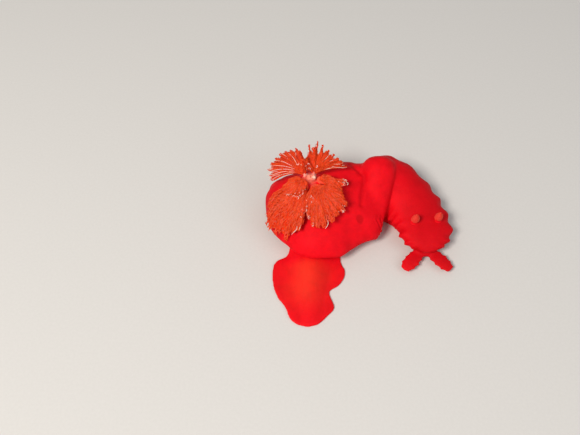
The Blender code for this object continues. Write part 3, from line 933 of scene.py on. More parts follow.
@dataclass
class BodySkin:
    """One closed skin over foot, mantle, head and gill bed.

    Courses are places in plan. A spot's row is its place, radius and strength; a swell's is its height,
    size and seed; a fold's is its two ends.
    """

    foot: Foot
    mantle: Mantle
    head: Head
    bed: GillBed
    voxel_mm: float = 1.0
    easing: float = 0.5
    fine_rounds: int = 7
    broad_rounds: int = 36
    crease: tuple = ((44.5, 41.6), (42.1, 28.4), (39.1, 18.0), (37.3, 9.4), (35.3, -2.0), (34.0, -10.0))
    groove: tuple = (
        (3.4, 58.0),
        (7.4, 49.6),
        (12.1, 44.9),
        (16.6, 39.7),
        (15.5, 28.7),
        (13.6, 18.2),
        (12.6, 7.5),
    )
    valley: tuple = ((-0.4, 39.1), (1.6, 29.0), (2.2, 19.8), (3.3, 11.2))
    groove_reach: float = 2.2
    valley_reach: float = 4.5
    shadow_depth: float = 1.6
    shadow_deepness: float = 0.38
    spots: tuple = ((10.7, -5.8, 3.4, 1.0), (11.4, 41.9, 2.8, 0.45))
    spot_depth: float = 0.3
    spot_deepness: float = 0.62
    swells: tuple = ((0.5, 26.0, 3), (0.24, 11.0, 5), (0.08, 4.5, 7))
    shoulder: tuple = (10.0, 50.0)
    shoulder_reach: tuple = (15.0, 11.0)
    shoulder_height: float = 2.4
    corner_folds: tuple = ((27.5, -2.0, 33.0, -8.0), (32.0, 1.0, 35.5, -7.0))

    def build(self) -> bpy.types.Object:
        """Makes the skin: the forms fused on a fine lattice, eased, then given swells, creases and colours.

        Returns:
            The skin, dressed.
        """
        foot, mantle, head = self.foot, self.mantle, self.head
        forms = [foot.tail(), foot.sole(), mantle.rear(), mantle.pleat(), mantle.front()]
        forms += [head.lump(), head.tentacle(-1), head.tentacle(1), self.bed.mound()]
        rough = Shell.joined(forms).to_object("skin_forms")
        fuse = rough.modifiers.new("fuse", "REMESH")
        fuse.mode = "VOXEL"
        fuse.voxel_size = self.voxel_mm * MM
        graph = bpy.context.evaluated_depsgraph_get()
        mesh = bpy.data.meshes.new_from_object(rough.evaluated_get(graph))
        bpy.data.objects.remove(rough)
        mesh.name = "body_skin"
        self._finish(mesh)
        mesh.shade_smooth()
        return put_object("body_skin", mesh)

    def _finish(self, mesh: bpy.types.Mesh) -> None:
        """Eases the points, moves them along their normals and stores the colour attributes.

        Args:
            mesh: the fused forms, in the frame's metres.
        """
        count = len(mesh.vertices)
        flat = np.empty(count * 3, np.float32)
        mesh.vertices.foreach_get("co", flat)
        points = flat.reshape(-1, 3).astype(float) / MM + PLAN_MIDDLE
        ends = np.empty(len(mesh.edges) * 2, np.int32)
        mesh.edges.foreach_get("vertices", ends)
        ends = ends.reshape(-1, 2)
        points = self._eased(points, ends, np.full(count, self.easing), self.fine_rounds)
        points = self._eased(points, ends, self.easing * self._broad_places(points), self.broad_rounds)
        mesh.vertices.foreach_set("co", to_frame(points).astype(np.float32).ravel())
        mesh.update()
        mesh.vertices.foreach_get("normal", flat)
        normals = flat.reshape(-1, 3).astype(float)
        points += normals * self._relief(points)[:, None]
        points[:, 2] = np.maximum(points[:, 2], 0.0)
        dress(mesh, Finish.SKIN, *self._colours(points))
        mesh.vertices.foreach_set("co", to_frame(points).astype(np.float32).ravel())
        mesh.update()

    @staticmethod
    def _eased(points: Array, ends: Array, share: Array, rounds: int) -> Array:
        """Moves each point a share of the way to its neighbours' mean, so many times over.

        Args:
            points: places, (n, 3).
            ends: the two points of each edge.
            share: how far each point goes, from 0 to 1.
            rounds: how many times.

        Returns:
            The new places.
        """
        count = len(points)
        first, second = np.concatenate([ends[:, 0], ends[:, 1]]), np.concatenate([ends[:, 1], ends[:, 0]])
        neighbours = np.maximum(np.bincount(first, minlength=count), 1)
        for _ in range(rounds):
            sums = np.stack([np.bincount(first, points[second, k], count) for k in range(3)], axis=1)
            points = points + share[:, None] * (sums / neighbours[:, None] - points)
        return points

    def _broad_places(self, points: Array) -> Array:
        """Where the forms melt together: high on the back, away from the pleat's sharp front crease."""
        high = smooth_step(21, 30, points[:, 2])
        return high * smooth_step(3.0, 8.0, self._apart(points, self.crease))

    @staticmethod
    def _apart(points: Array, course: tuple) -> Array:
        """How far each point is, in plan, from a smooth line through a few places."""
        line = through(np.array(course), 40)
        return np.min(np.linalg.norm(points[:, None, :2] - line[None], axis=2), axis=1)

    def _soft_shadows(self, points: Array) -> Array:
        """Finds the groove and the shallow valley by the pleat: each is a bell, exp(-(distance / reach)^2).

        Args:
            points: places, (n, 3).

        Returns:
            1 in the bottom of either, 0 away from them.
        """
        top = smooth_step(30, 36, points[:, 2])
        groove = np.exp(-((self._apart(points, self.groove) / self.groove_reach) ** 2))
        valley = np.exp(-((self._apart(points, self.valley) / self.valley_reach) ** 2))
        return top * np.clip(groove + 0.7 * valley, 0, 1)

    def _spot_share(self, points: Array) -> Array:
        """Finds the round dark spots on the back, each of which fades out softly past its radius.

        Args:
            points: places, (n, 3).

        Returns:
            How strong the spots are at each place, from 0 to 1.
        """
        made = np.zeros(len(points))
        for x, y, radius, strength in self.spots:
            apart = np.linalg.norm(points[:, :2] - (x, y), axis=1) + 0.5 * soft_noise(points, 2.5, 41)
            made = np.maximum(made, strength * smooth_step(radius * 1.35, radius * 0.75, apart))
        return made * (points[:, 2] > 20)

    def _relief(self, points: Array) -> Array:
        """Adds up the skin's relief: swells of three sizes and the shoulder, less the dents and folds.

        Args:
            points: places, (n, 3).

        Returns:
            How far the skin stands proud at each place, in mm.
        """
        swell = sum(height * soft_noise(points, cell, seed) for height, cell, seed in self.swells)
        apart = (points[:, :2] - self.shoulder) / self.shoulder_reach
        swell += self.shoulder_height * np.exp(-(apart**2).sum(axis=1)) * smooth_step(25, 35, points[:, 2])
        swell -= self.spot_depth * self._spot_share(points)
        swell -= self.shadow_depth * self._soft_shadows(points)
        for x0, y0, x1, y1 in self.corner_folds:
            course = np.array([x1 - x0, y1 - y0])
            along = np.clip(((points[:, :2] - (x0, y0)) @ course) / (course @ course), 0, 1)
            apart = np.linalg.norm(points[:, :2] - (x0, y0) - along[:, None] * course, axis=1)
            # A narrow crease with a low ridge beside it.
            fold = 0.55 * np.exp(-((apart - 1.7) ** 2) / 0.8) - 0.7 * np.exp(-(apart**2) / 0.7)
            swell += fold * (points[:, 2] > 11)
        return swell * smooth_step(1.0, 3.0, points[:, 2])

    def _colours(self, points: Array) -> tuple[Array, Array, Array]:
        """Works out where the red turns pale, warm or deep.

        Args:
            points: places, (n, 3).

        Returns:
            How pale, warm and deep each place is, from 0 to 1.
        """
        bed = np.linalg.norm(points[:, :2] - (self.bed.middle[0], self.bed.middle[1] + 1.5), axis=1)
        pale = 0.5 * smooth_step(9.5, 5.0, bed + 1.5 * soft_noise(points, 5, 11)) * (points[:, 2] > 44)
        tail = smooth_step(-30, -42, points[:, 1]) * smooth_step(14, 12, points[:, 2])
        shifted = points[:, 0] + 41 + 4 * soft_noise(points, 16, 21)
        core = np.exp(-((shifted / 17) ** 2)) * smooth_step(-96, -58, points[:, 1])
        warm = tail * (0.04 + 0.42 * core * (1 + 0.2 * soft_noise(points, 7, 23)))
        # Painted shade: the red deepens towards the right, towards the far left and along the far top, and
        # in the groove and valley by the pleat.
        deep = 0.5 * smooth_step(34, 75, points[:, 0]) + 0.35 * smooth_step(-62, -82, points[:, 0])
        shaded = smooth_step(50, 68, points[:, 1]) * smooth_step(-10, 5, points[:, 0])
        deep = np.maximum(deep, 0.4 * shaded) + self.shadow_deepness * self._soft_shadows(points)
        deep = np.maximum(deep, self.spot_deepness * self._spot_share(points))
        return np.clip(pale, 0, 1), np.clip(warm, 0, 1), np.clip(deep, 0, 1)


@dataclass
class Rhinophore:
    """One rhinophore: a short stalk in a collar, and a club with slanting leaf-like rings."""

    name: str
    place: tuple
    foot: float = 24.0
    top: float = 41.5
    profile: tuple = (3.0, 2.6, 2.4, 2.9, 3.9, 4.1, 4.0, 3.7, 3.1, 2.3, 0.9)
    leaves: int = 13
    leaf_depth: float = 0.8
    collar_height: float = 1.6
    flatness: float = 0.85
    lean: float = -2.5

    def build(self) -> bpy.types.Object:
        """Makes the club: a turned profile whose radius is stepped by a slanting saw wave.

        Returns:
            The rhinophore, dressed.
        """
        t = np.linspace(0, 1, 260)[:, None]
        turn = angles(72)[None]
        club = smooth_step(0.30, 0.42, t)
        body = through(np.array(self.profile)[:, None], 260)
        phase = (t * self.leaves / 0.7 + 0.35 * np.cos(turn)) % 1
        leaf = self.leaf_depth * (1 - phase) ** 0.6 * club * smooth_step(1.0, 0.93, t)
        radius = body - self.leaf_depth * club * smooth_step(1.0, 0.9, t) + leaf
        radius = radius + self.collar_height * np.exp(-(((t - 0.10) / 0.07) ** 2))
        x = self.place[0] + radius * np.cos(turn)
        y = self.place[1] + self.flatness * radius * np.sin(turn) + self.lean * t
        z = self.foot + (self.top - self.foot) * t + np.zeros_like(x)
        rings = np.stack([x, y, z], axis=-1)
        low = np.array([*self.place, self.foot])
        high = np.array([self.place[0], self.place[1] + self.lean, self.top + 0.7])
        made = Shell.of_rings(rings, low, high).to_object(self.name + "_club")
        along = np.concatenate([np.broadcast_to(t, x.shape).ravel(), [0, 1]])
        # Painted shade: the flesh deepens down into the groove under each leaf; the leaves' edges are paler.
        groove = np.concatenate([(phase * club).ravel(), [0, 0]])
        on_club = smooth_step(0.3, 0.42, along)
        dress(made.data, Finish.SKIN, 0.3 * on_club * (1 - groove) ** 3, 0.3 * on_club, groove)
        return made


class Edge(Enum):
    """How a plume's edge runs from branch to branch."""

    ROUND = 0.55
    SPIKY = -0.9


@dataclass
class Gill:
    """One gill plume: a stalk that opens into a web, and branches over it, with side branches and leaflets.

    The fan is a function of two parameters: a counts its lobes from left to right, and b goes from the stalk
    (0) to the lobes' tips (1). Every branch is a line in a and b, so that none passes the scalloped edge. A
    lower layer of branches lies between and under the upper one, painted deeper red as shade in the gaps.

    The gill leans out from the bed towards around, in degrees; rise and shoulder bend its root. A scallop's
    row is a and a depth. The row of some ribs or frost is where they start and end, and the share of the
    branches that has them. A rim's row is the a and b of both its ends.
    """

    name: str
    around: float
    rise: float
    shoulder: float
    tips: tuple
    seed: int
    bed: GillBed
    edge: Edge = Edge.ROUND
    scallop: tuple = ((0.0, 0.17),)
    ruffle: float = 1.7
    teeth: float = 0.06
    redness: float = 0.0
    fold_painted_shade: float = 0.2
    stalk_paleness: float = 0.08
    ribs: tuple = ()
    frost: tuple = ()
    rims: tuple = ()
    rim_radius: float = 0.3
    hooks: tuple = ()
    mains: int = 2
    side_branches: int = 17
    side_length: float = 5.5
    leaflets: int = 6
    leaflet_length: float = 1.25
    curl: float = 3.0
    curl_start: float = 0.78
    stalk_radius: tuple = (3.0, 2.6, 1.2, 0.0)
    main_radius: tuple = (0.95, 0.5, 0.22)
    side_radius: tuple = (0.46, 0.36)
    leaflet_half_width: tuple = (0.20, 0.25)
    leaflet_angles: tuple = (24.0, 46.0)
    upper_lift: float = 0.6
    lower_lift: float = -1.6
    lower_painted_shade: float = 0.28
    rim_lift: float = 1.6
    web_reach: float = 0.94
    web_overhang: float = 0.2
    web_drop: float = 0.7
    extra: Gill | None = None
    map_patch: float = 0.0015
    _rows: list = field(default_factory=list, init=False)
    _hand: float = field(default=1.0, init=False)

    def fan(self, a: Array, b: Array) -> Array:
        """A place on the smooth fan: a quadratic Bezier from the upright root to the line through the tips.

        Args:
            a: which lobe, 0 at the first; fractions lie between two.
            b: how far out, 0 at the root and 1 at the tip; both of any one shape.

        Returns:
            The points, with one more axis of 3.
        """
        angle = math.radians(self.around)
        outward = np.array([math.cos(angle), math.sin(angle), 0.0])
        root = np.array([*self.bed.middle, self.bed.top]) + self.bed.stalk_ring * outward
        edge = curve_at(np.array(self.tips, float), a)
        b = b[..., None]
        control = root + np.array([0, 0, self.rise]) + self.shoulder * (edge - root) * (1, 1, 0)
        place = (1 - b) ** 2 * root + 2 * b * (1 - b) * control + b**2 * edge
        lift = self.curl * np.clip((b - self.curl_start) / (1 - self.curl_start), 0, 1.3) ** 2
        return place + lift * np.array([0, 0, 0.85]) - 0.3 * lift * unit(edge - root)

    def normal(self, a: Array, b: Array) -> Array:
        """Finds the normal of the fan's inner face, which is the upper one where the fan lies flat.

        Args:
            a: which lobe.
            b: how far out.

        Returns:
            Unit vectors, with one more axis of 3.
        """
        wide = np.maximum(b, 0.12)
        course = self.fan(a, b + 0.02) - self.fan(a, b)
        return self._hand * unit(np.cross(self.fan(a + 0.25, wide) - self.fan(a - 0.25, wide), course))

    def surface(self, a: Array, b: Array, lift: Array | float) -> tuple[Array, Array]:
        """A place above the ruffled fan, and the normal there.

        The ruffle is a ridge along each lobe's middle and a valley between two, deeper towards the edge.

        Args:
            a: which lobe.
            b: how far out.
            lift: how far above the ruffled fan.

        Returns:
            The points and the unit normals, each with one more axis of 3.
        """
        normal = self.normal(a, b)
        ridge = np.abs(np.cos(np.pi * a)) ** 0.8 - 0.55 + 0.22 * np.sin(11 * b + 2.1 * a + self.seed)
        height = self.ruffle * ridge * smooth_step(0.25, 0.95, b) + lift
        return self.fan(a, b) + normal * np.asarray(height)[..., None], normal

    def outline(self, a: Array) -> Array:
        """Finds the plume's edge, which is full on each lobe's middle and less by the scallop between two.

        Args:
            a: which lobe.

        Returns:
            How far out the edge is, as b.
        """
        power = self.edge.value
        if power > 0:
            notch = 1 - np.abs(np.cos(np.pi * a)) ** power
        else:
            notch = np.abs(np.sin(np.pi * a)) ** -power
        uneven = 1 + 0.4 * np.sin(2.3 * a + self.seed)
        depth = np.interp(a, *np.array(self.scallop).T)
        return 1 - depth * notch * uneven - 0.02 * np.sin(4.1 * a + 2 * self.seed)

    @staticmethod
    def valley(a: Array) -> Array:
        """1 in the fold between two lobes, 0 on a lobe's middle."""
        return np.abs(np.sin(np.pi * a)) ** 3

    @staticmethod
    def _chosen(draw: np.random.Generator, a: Array, stretches: tuple) -> Array:
        """Chooses some branches at random.

        Args:
            draw: the plume's random numbers.
            a: where the branches are.
            stretches: rows of a stretch's start, its end and the share that is chosen.

        Returns:
            1 for each chosen branch, 0 for the others.
        """
        chance = draw.uniform(0, 1, a.shape)
        made = np.zeros(a.shape)
        for low, high, share in stretches:
            made = np.maximum(made, (a > low) & (a < high) & (chance < share))
        return made

    def build(self) -> bpy.types.Object:
        """Makes the whole plume as one mesh, with its colour attributes and its bake map.

        Returns:
            The plume, dressed.
        """
        rows = self.rows() + (self.extra.rows() if self.extra else [])
        made = Shell.joined([row[0] for row in rows]).to_object(self.name + "_plume")
        *values, spots = (np.concatenate([row[k] for row in rows]) for k in range(1, 5))
        dress(made.data, Finish.GILL, *values)
        self._bake_map(made.data, spots)
        return made

    def rows(self) -> list:
        """Makes the plume's parts.

        Returns:
            Rows of a shell, its pale, warm and deep values, and its places on the bake map.
        """
        draw = np.random.default_rng(self.seed)
        self._rows = []
        count = len(self.tips)
        every = np.linspace(0, count - 1, 4 * count)
        self._hand = float(np.sign(self._hand * self.normal(every, 0.6 + 0 * every)[:, 2].sum()))
        upper = np.linspace(0, count - 1, self.mains * (count - 1) + 1)
        between = np.abs(upper - np.round(upper)) > 0.01
        upper = upper + draw.uniform(-0.07, 0.07, len(upper)) * between
        lower = np.arange(count - 1) + 0.5 + draw.uniform(-0.1, 0.1, count - 1)
        self._web()
        self._layer(draw, upper, self.upper_lift, 0.0, self.leaflets)
        # The lower layer is painted deeper red, as shade in the gaps between the upper branches.
        self._layer(draw, lower, self.lower_lift, self.lower_painted_shade, self.leaflets // 2)
        if self.rims:
            self._rims()
        if self.hooks:
            self._hooks(draw)
        return self._rows

    def _keep(
        self,
        shell: Shell,
        rings: tuple,
        pale: Array | float,
        warm: Array | float,
        deep: Array | float,
        spots: Array,
    ) -> None:
        """Stores a set of tubes, with its values spread to every point and pole.

        Args:
            shell: the tubes.
            rings: how many tubes, how many rings in each, and how many corners in a ring.
            pale: how pale each ring is.
            warm: how warm each ring is.
            deep: how deep each ring is.
            spots: each tube's place on the bake map.
        """
        n, m, sides = rings
        values = []
        for value in (pale, warm, deep):
            value = np.clip(np.broadcast_to(value, (n, m)), 0, 1)
            ends = np.stack([value[:, 0], value[:, -1]], axis=1).ravel()
            values.append(np.concatenate([np.repeat(value.ravel(), sides), ends]))
        turn = angles(sides)
        offset = np.stack([np.cos(turn), np.sin(turn)], axis=-1) * self.map_patch * 0.4
        step = np.linspace(0, self.map_patch, m)[:, None, None] * np.array([0.0, 1.0])
        ring_spots = spots[:, None, None] + step + offset
        ends = np.stack([spots, spots + (0, self.map_patch * 1.4)], axis=1).reshape(-1, 2)
        self._rows.append((shell, *values, np.concatenate([ring_spots.reshape(-1, 2), ends])))

    def _map_spots(self, a: Array, b: Array) -> Array:
        """Places on the bake map for tubes that start at (a, b)."""
        across = np.clip(a / max(len(self.tips) - 1, 1), -0.03, 1.03)
        return np.stack([0.05 + 0.9 * across, 0.04 + 0.9 * np.clip(b, 0, 1)], axis=-1)

    def _web(self) -> None:
        """Adds the stalk, and the thin web that it opens into, under the branches.

        A ring is an ellipse round the stalk, which flattens into the fan's own surface as b grows. The web
        ends a little short of the scalloped edge.
        """
        last = len(self.tips) - 1
        b = np.linspace(0, self.web_reach, 40)[:, None]
        turn = angles(64)[None]
        middle, half = last / 2, last / 2 + self.web_overhang
        a = middle + half * np.cos(turn) + 0 * b
        wide_b = b * (1 - (1 - self.outline(a)) * smooth_step(0.3, 0.85, b))
        thick = np.interp(wide_b, (0, 0.08, 0.25, self.web_reach), (0.0, 0.8, 0.5, 0.15))
        drop = self.web_drop * smooth_step(0.05, 0.3, wide_b)
        place, _ = self.surface(a, wide_b, thick * np.sin(turn) - drop)
        normal = self.normal(middle + 0 * b, b)
        course = unit(self.fan(middle + 0 * b, b + 0.02) - self.fan(middle + 0 * b, b))
        side = unit(np.cross(normal, course))
        radius = np.interp(b, (0, 0.06, 0.2, 0.4), self.stalk_radius)[..., None]
        turn = turn[..., None]
        rings = place + radius * (1.15 * np.cos(turn) * side + np.sin(turn) * normal)
        rings[..., 2] -= 1.6 * smooth_step(0.15, 0.0, wide_b)
        shell = Shell.of_rings(rings, rings[0].mean(axis=0), None)
        out = np.append(wide_b, 0.0)
        fold = np.append(self.valley(a), 0.0)
        pale = self.stalk_paleness * smooth_step(0.26, 0.08, out)
        # Painted shade: the web deepens in the folds between lobes; it is less deep near the stalk.
        deep = self.redness + 0.1 + 0.3 * fold * smooth_step(0.2, 0.6, out)
        deep = deep - 0.4 * smooth_step(0.3, 0.1, out)
        across = np.append(a / last, 0.5)
        spots = np.stack([0.05 + 0.9 * np.clip(across, -0.03, 1.03), 0.96 + 0.03 * out], axis=-1)
        self._rows.append((shell, np.clip(pale, 0, 1), 0.2 + 0 * out, np.clip(deep, 0, 1), spots))

    def _tube_lines(self, a: Array, b: Array, lift: Array) -> tuple[Array, Array, Array, Array]:
        """Lays lines over the ruffled fan.

        Args:
            a: which lobe, (n, m).
            b: how far out, (n, m).
            lift: how far above the fan, (n, m).

        Returns:
            The lines' points, courses, sides and normals, each (n, m, 3).
        """
        lines, normal = self.surface(a, b, lift)
        ways = unit(np.gradient(lines, axis=1))
        flank = unit(np.cross(normal, ways))
        return lines, ways, flank, np.cross(ways, flank)

    def _layer(self, draw: np.random.Generator, at: Array, lift: float, depth: float, leaflets: int) -> None:
        """Adds one layer of main branches with all that they carry.

        Args:
            draw: the plume's random numbers.
            at: where across the fan each main branch goes.
            lift: how far above the fan the layer lies.
            depth: how deep red it is, which is painted shade for the lower layer.
            leaflets: how many pairs of leaflets each side branch has.
        """
        n, m = len(at), 24
        far = self.outline(at) * (1 - 0.04 * draw.uniform(0, 1, n))
        b = np.linspace(0.02, 1, m)[None] * far[:, None]
        phase = draw.uniform(0, 2 * np.pi, n)[:, None]
        a = at[:, None] + 0.08 * np.sin(b * 7 + phase) * b
        white = self._chosen(draw, at[:, None], self.ribs) * draw.uniform(0.75, 1.0, (n, 1)) * (depth == 0)
        height = (lift + draw.uniform(-0.4, 0.4, n))[:, None] * np.sin(np.clip(b, 0, 1) * np.pi * 0.8)
        height = height + 0.9 * white * smooth_step(0.15, 0.4, b)
        lines, _, flank, up = self._tube_lines(a, b, height)
        main = np.abs(at - np.round(at))[:, None] < 0.2
        radius = np.interp(b, (0, 0.3, 1.05), self.main_radius) * np.where(main, 1.0, 0.7)
        radius = radius * np.where(white > 0, 0.72, 1.0)
        body = (lines[:, :-1], flank[:, :-1], up[:, :-1], radius[:, :-1], radius[:, :-1])
        shell = tubes(*body, ROUND_SIDES, lines[:, -1])
        rib = np.maximum(white, self.stalk_paleness * smooth_step(0.12, 0.04, b))[:, :-1]
        self._keep(shell, (n, m - 1, ROUND_SIDES), rib, 0.3, depth, self._map_spots(at, 0 * at))
        self._side_branches(draw, at, far, height, depth, leaflets)

    def _side_branches(
        self, draw: np.random.Generator, at: Array, far: Array, height: Array, depth: float, leaflets: int
    ) -> None:
        """Adds the side branches: each bends away from its main branch and then runs beside it to the edge.

        On the fan, a = a0 + reach * (1 - (1 - t)^1.8), and b = b0 + length * t, held within the edge.

        Args:
            draw: the plume's random numbers.
            at: where across the fan each main branch goes.
            far: how far out each main branch goes.
            height: how far above the fan it is at each of its points.
            depth: how deep red the layer is painted, as shade.
            leaflets: how many pairs of leaflets each side branch has.
        """
        n, count, steps = len(at), self.side_branches, 5
        total = n * count * 2
        shape = (n, count, 2)
        share = np.linspace(0.05, 0.97, count)[None, :, None]
        start = np.broadcast_to(share * far[:, None, None], shape) + draw.uniform(-0.01, 0.01, shape)
        hand = np.array([-1.0, 1.0])[None, None]
        reach = hand * draw.uniform(0.6, 1.25, shape) * (0.62 / self.mains)
        a0 = np.broadcast_to(at[:, None, None], shape)
        tip = self.fan(a0[:, :1, :1], 0 * a0[:, :1, :1] + 1)
        root_to_tip = np.linalg.norm(tip - self.fan(a0, 0 * a0), axis=-1)
        long = self.side_length * draw.uniform(0.75, 1.2, shape) / root_to_tip
        reach = reach * np.where(self.outline(a0 + reach) < start, 0.3, 1.0)
        a1 = np.clip(a0 + reach, -0.35, len(self.tips) - 0.65)
        limit = self.outline(a1) * (1 - 0.03 * draw.uniform(0, 1, shape))
        b1 = np.maximum(np.minimum(start + long, limit), start - 0.04)
        t = np.linspace(0, 1, steps)
        a = a0[..., None] + (a1 - a0)[..., None] * (1 - (1 - t) ** 1.8)
        b = start[..., None] + (b1 - start)[..., None] * t
        base = height[:, (np.linspace(0.05, 0.97, count) * (height.shape[1] - 1)).astype(int)]
        bush = 1.0 + 2.4 * smooth_step(0.35, 0.05, share)
        tilt = draw.uniform(-0.3, 1.1, shape) * bush * (1 - depth)
        lift = base[:, :, None, None] + tilt[..., None] * np.sin(t * np.pi * 0.62)
        a, b, lift = (v.reshape(total, steps) for v in (a, b, lift))
        curve, ways, flank, up = self._tube_lines(a, b, lift)
        rings = steps - 1
        radius = np.broadcast_to(np.interp(t[:-1], (0, 0.75), self.side_radius), (total, rings))
        body = (curve[:, :-1], flank[:, :-1], up[:, :-1])
        shell = tubes(*body, radius * (1 + 0.5 * depth), radius * 0.8, SQUARE_SIDES, curve[:, -1])
        out = np.broadcast_to(share, shape).reshape(total, 1)
        spots = self._map_spots(a[:, 0], b[:, 0])
        t = t[:-1]
        frosted = 0.9 * self._chosen(draw, a[:, -1:], self.frost) * (out > 0.88) * (1 - depth)
        pale = self.teeth * draw.uniform(0.0, 2.0, (total, 1)) * (1 - 0.6 * t)[None] * (1 - depth)
        pale = np.maximum(pale, frosted * smooth_step(0.1, 0.7, t)[None])
        # Painted shade: the side branches darken in the folds between lobes, towards their roots, on the
        # inner branches and with the layer's painted shade.
        fold = self.fold_painted_shade * self.valley(a[:, :-1]) * smooth_step(0.2, 0.7, b[:, :-1])
        shade = self.redness + depth + fold + 0.2 * (1 - t)[None] * (1 - out)
        shade = shade + draw.uniform(-0.2, 0.2, (total, 1))
        warm = (0.15 + 0.7 * t[None]) * draw.uniform(0.4, 1.2, (total, 1)) * (1 - depth)
        self._keep(shell, (total, rings, SQUARE_SIDES), pale, warm, shade * (1 - frosted), spots)
        if leaflets:
            shade = self.redness + depth + fold[:, :1]
            self._leaflets(draw, (curve, ways, flank, up), spots, shade, frosted, leaflets)

    def _leaflets(
        self, draw: np.random.Generator, stems: tuple, spots: Array, depth: Array, frosted: Array, pairs: int
    ) -> None:
        """Adds the leaflets: thin blades in pairs along every side branch, bent a little upwards.

        Args:
            draw: the plume's random numbers.
            stems: the side branches' points, courses, sides and normals.
            spots: each side branch's place on the bake map.
            depth: how deep red each side branch is: its own redness and its painted shade.
            frosted: how white each side branch is.
            pairs: how many pairs each side branch has.
        """
        curve, ways, flank, up = stems
        total, steps = curve.shape[:2]
        at = np.linspace(0.10, 0.95, pairs)
        index = at * (steps - 1)
        low = np.minimum(index.astype(int), steps - 2)
        part = (index - low)[None, :, None]
        base = curve[:, low] * (1 - part) + curve[:, low + 1] * part
        course, side, normal = ways[:, low], flank[:, low], up[:, low]
        hand = np.array([-1.0, 1.0])[None, None, :, None]
        angle = np.radians(draw.uniform(*self.leaflet_angles, (total, pairs, 2)))[..., None]
        tilt = draw.uniform(-0.3, 0.7, (total, pairs, 2))[..., None]
        way = np.cos(angle) * course[:, :, None] + hand * np.sin(angle) * side[:, :, None]
        way = unit(way + tilt * normal[:, :, None])
        length = self.leaflet_length * np.interp(at, (0, 0.5, 1), (0.9, 1.0, 0.6))[None, :, None]
        length = (length * draw.uniform(0.75, 1.2, (total, pairs, 2)))[..., None]
        start = np.broadcast_to(base[:, :, None], way.shape)
        lines = np.stack([start, start + way * length * 0.6], axis=-2)
        tips = start + way * length + 0.15 * normal[:, :, None]
        many = total * pairs * 2
        depth = np.repeat(depth, pairs * 2, axis=0)
        lines, tips = lines.reshape(many, 2, 3), tips.reshape(many, 3)
        way = way.reshape(many, 1, 3)
        top = np.broadcast_to(normal[:, :, None], (total, pairs, 2, 3)).reshape(many, 1, 3)
        flat = unit(np.cross(top, way))
        wide = np.broadcast_to(np.array(self.leaflet_half_width), (many, 2))
        flat, top = np.repeat(flat, 2, axis=1), np.repeat(np.cross(way, flat), 2, axis=1)
        shell = tubes(lines, flat, top, wide, wide * 0.55, BLADE_SIDES, tips)
        # Painted shade: each blade is darker at its base than at its tip.
        shade = depth + draw.uniform(-0.2, 0.2, (many, 1)) + np.array([0.2, 0.0])[None]
        glow = np.array([0.15, 0.8])[None] * draw.uniform(0.3, 1.0, (many, 1)) * np.clip(1 - depth, 0, 1)
        pale = 0.7 * np.repeat(frosted, pairs * 2, axis=0) * np.array([0.5, 1.0])[None]
        place = np.repeat(spots, pairs * 2, axis=0) + draw.uniform(-0.004, 0.004, (many, 2))
        self._keep(shell, (many, 2, BLADE_SIDES), pale, glow, shade * (1 - pale), place)

    def _rims(self) -> None:
        """Adds the pale turned-over edges of some lobes: thin tubes along bowed lines in a and b."""
        rows = np.array(self.rims, float)
        t = np.linspace(0, 1, 12)[None]
        a = rows[:, :1] + (rows[:, 2:3] - rows[:, :1]) * t + 0.22 * np.sin(np.pi * t)
        b = rows[:, 1:2] + (rows[:, 3:4] - rows[:, 1:2]) * t
        lines, _, flank, up = self._tube_lines(a, b, self.rim_lift + 0 * a)
        radius = self.rim_radius * np.sin(np.pi * np.clip(t, 0.06, 0.94)) ** 0.5 + 0 * a
        shell = tubes(lines, flank, up, radius, radius, ROUND_SIDES)
        self._keep(shell, (len(rows), 12, ROUND_SIDES), 0.9, 0.0, 0.0, self._map_spots(a[:, 0], b[:, 0]))

    def _hooks(self, draw: np.random.Generator) -> None:
        """Adds the small white curls over the plume: thin tubes along two thirds of a rising circle.

        Args:
            draw: the plume's random numbers.
        """
        middles = np.array(self.hooks, float)
        n = len(middles)
        t = np.linspace(0, 1, 10)[None]
        turn = draw.uniform(0, 2 * np.pi, (n, 1)) + 4.2 * t
        radius = draw.uniform(0.8, 1.5, (n, 1)) * (1 - 0.35 * t)
        offset = np.stack([radius * np.cos(turn), radius * np.sin(turn), 0.9 * t + 0 * turn], axis=-1)
        lines = middles[:, None] + offset
        ways = unit(np.gradient(lines, axis=1))
        flank = unit(np.cross(np.array([0, 0, 1.0]), ways))
        thick = 0.3 * (1 - 0.5 * t) + 0 * turn
        shell = tubes(lines, flank, np.cross(ways, flank), thick, thick, ROUND_SIDES)
        spots = 0.5 + 0.004 * (middles[:, :2] - middles[:1, :2])
        self._keep(shell, (n, 10, ROUND_SIDES), 0.85, 0.0, 0.0, spots)

    @staticmethod
    def _bake_map(mesh: bpy.types.Mesh, spots: Array) -> None:
        """Stores the map that the colours are baked through: a small patch for each tube.

        Args:
            mesh: the plume.
            spots: each vertex's place on the map, (n, 2).
        """
        corners = np.empty(len(mesh.loops), np.int32)
        mesh.loops.foreach_get("vertex_index", corners)
        mesh.uv_layers.new(name="OFBake").data.foreach_set("uv", spots[corners].astype(np.float32).ravel())


# The studio


@dataclass(frozen=True)
class Lamp:
    """A square soft light: its place, aim and side in metres, and its power in watts."""

    name: str
    place: tuple
    side: float
    watts: float
    colour: str
    aim: tuple = (0.0, 0.0, 0.02)

    def build(self) -> bpy.types.Object:
        """Hangs the light, turned to its aim.

        Returns:
            The light.
        """
        data = bpy.data.lights.new(self.name, "AREA")
        data.size = self.side
        data.energy = self.watts
        data.color = linear(self.colour)[:3]
        made = put_object(self.name, data)
        made.location = self.place
        way = np.subtract(self.aim, self.place)
        level = math.hypot(way[0], way[1])
        made.rotation_euler = (math.atan2(level, -way[2]), 0, math.atan2(way[1], way[0]) - math.pi / 2)
        return made


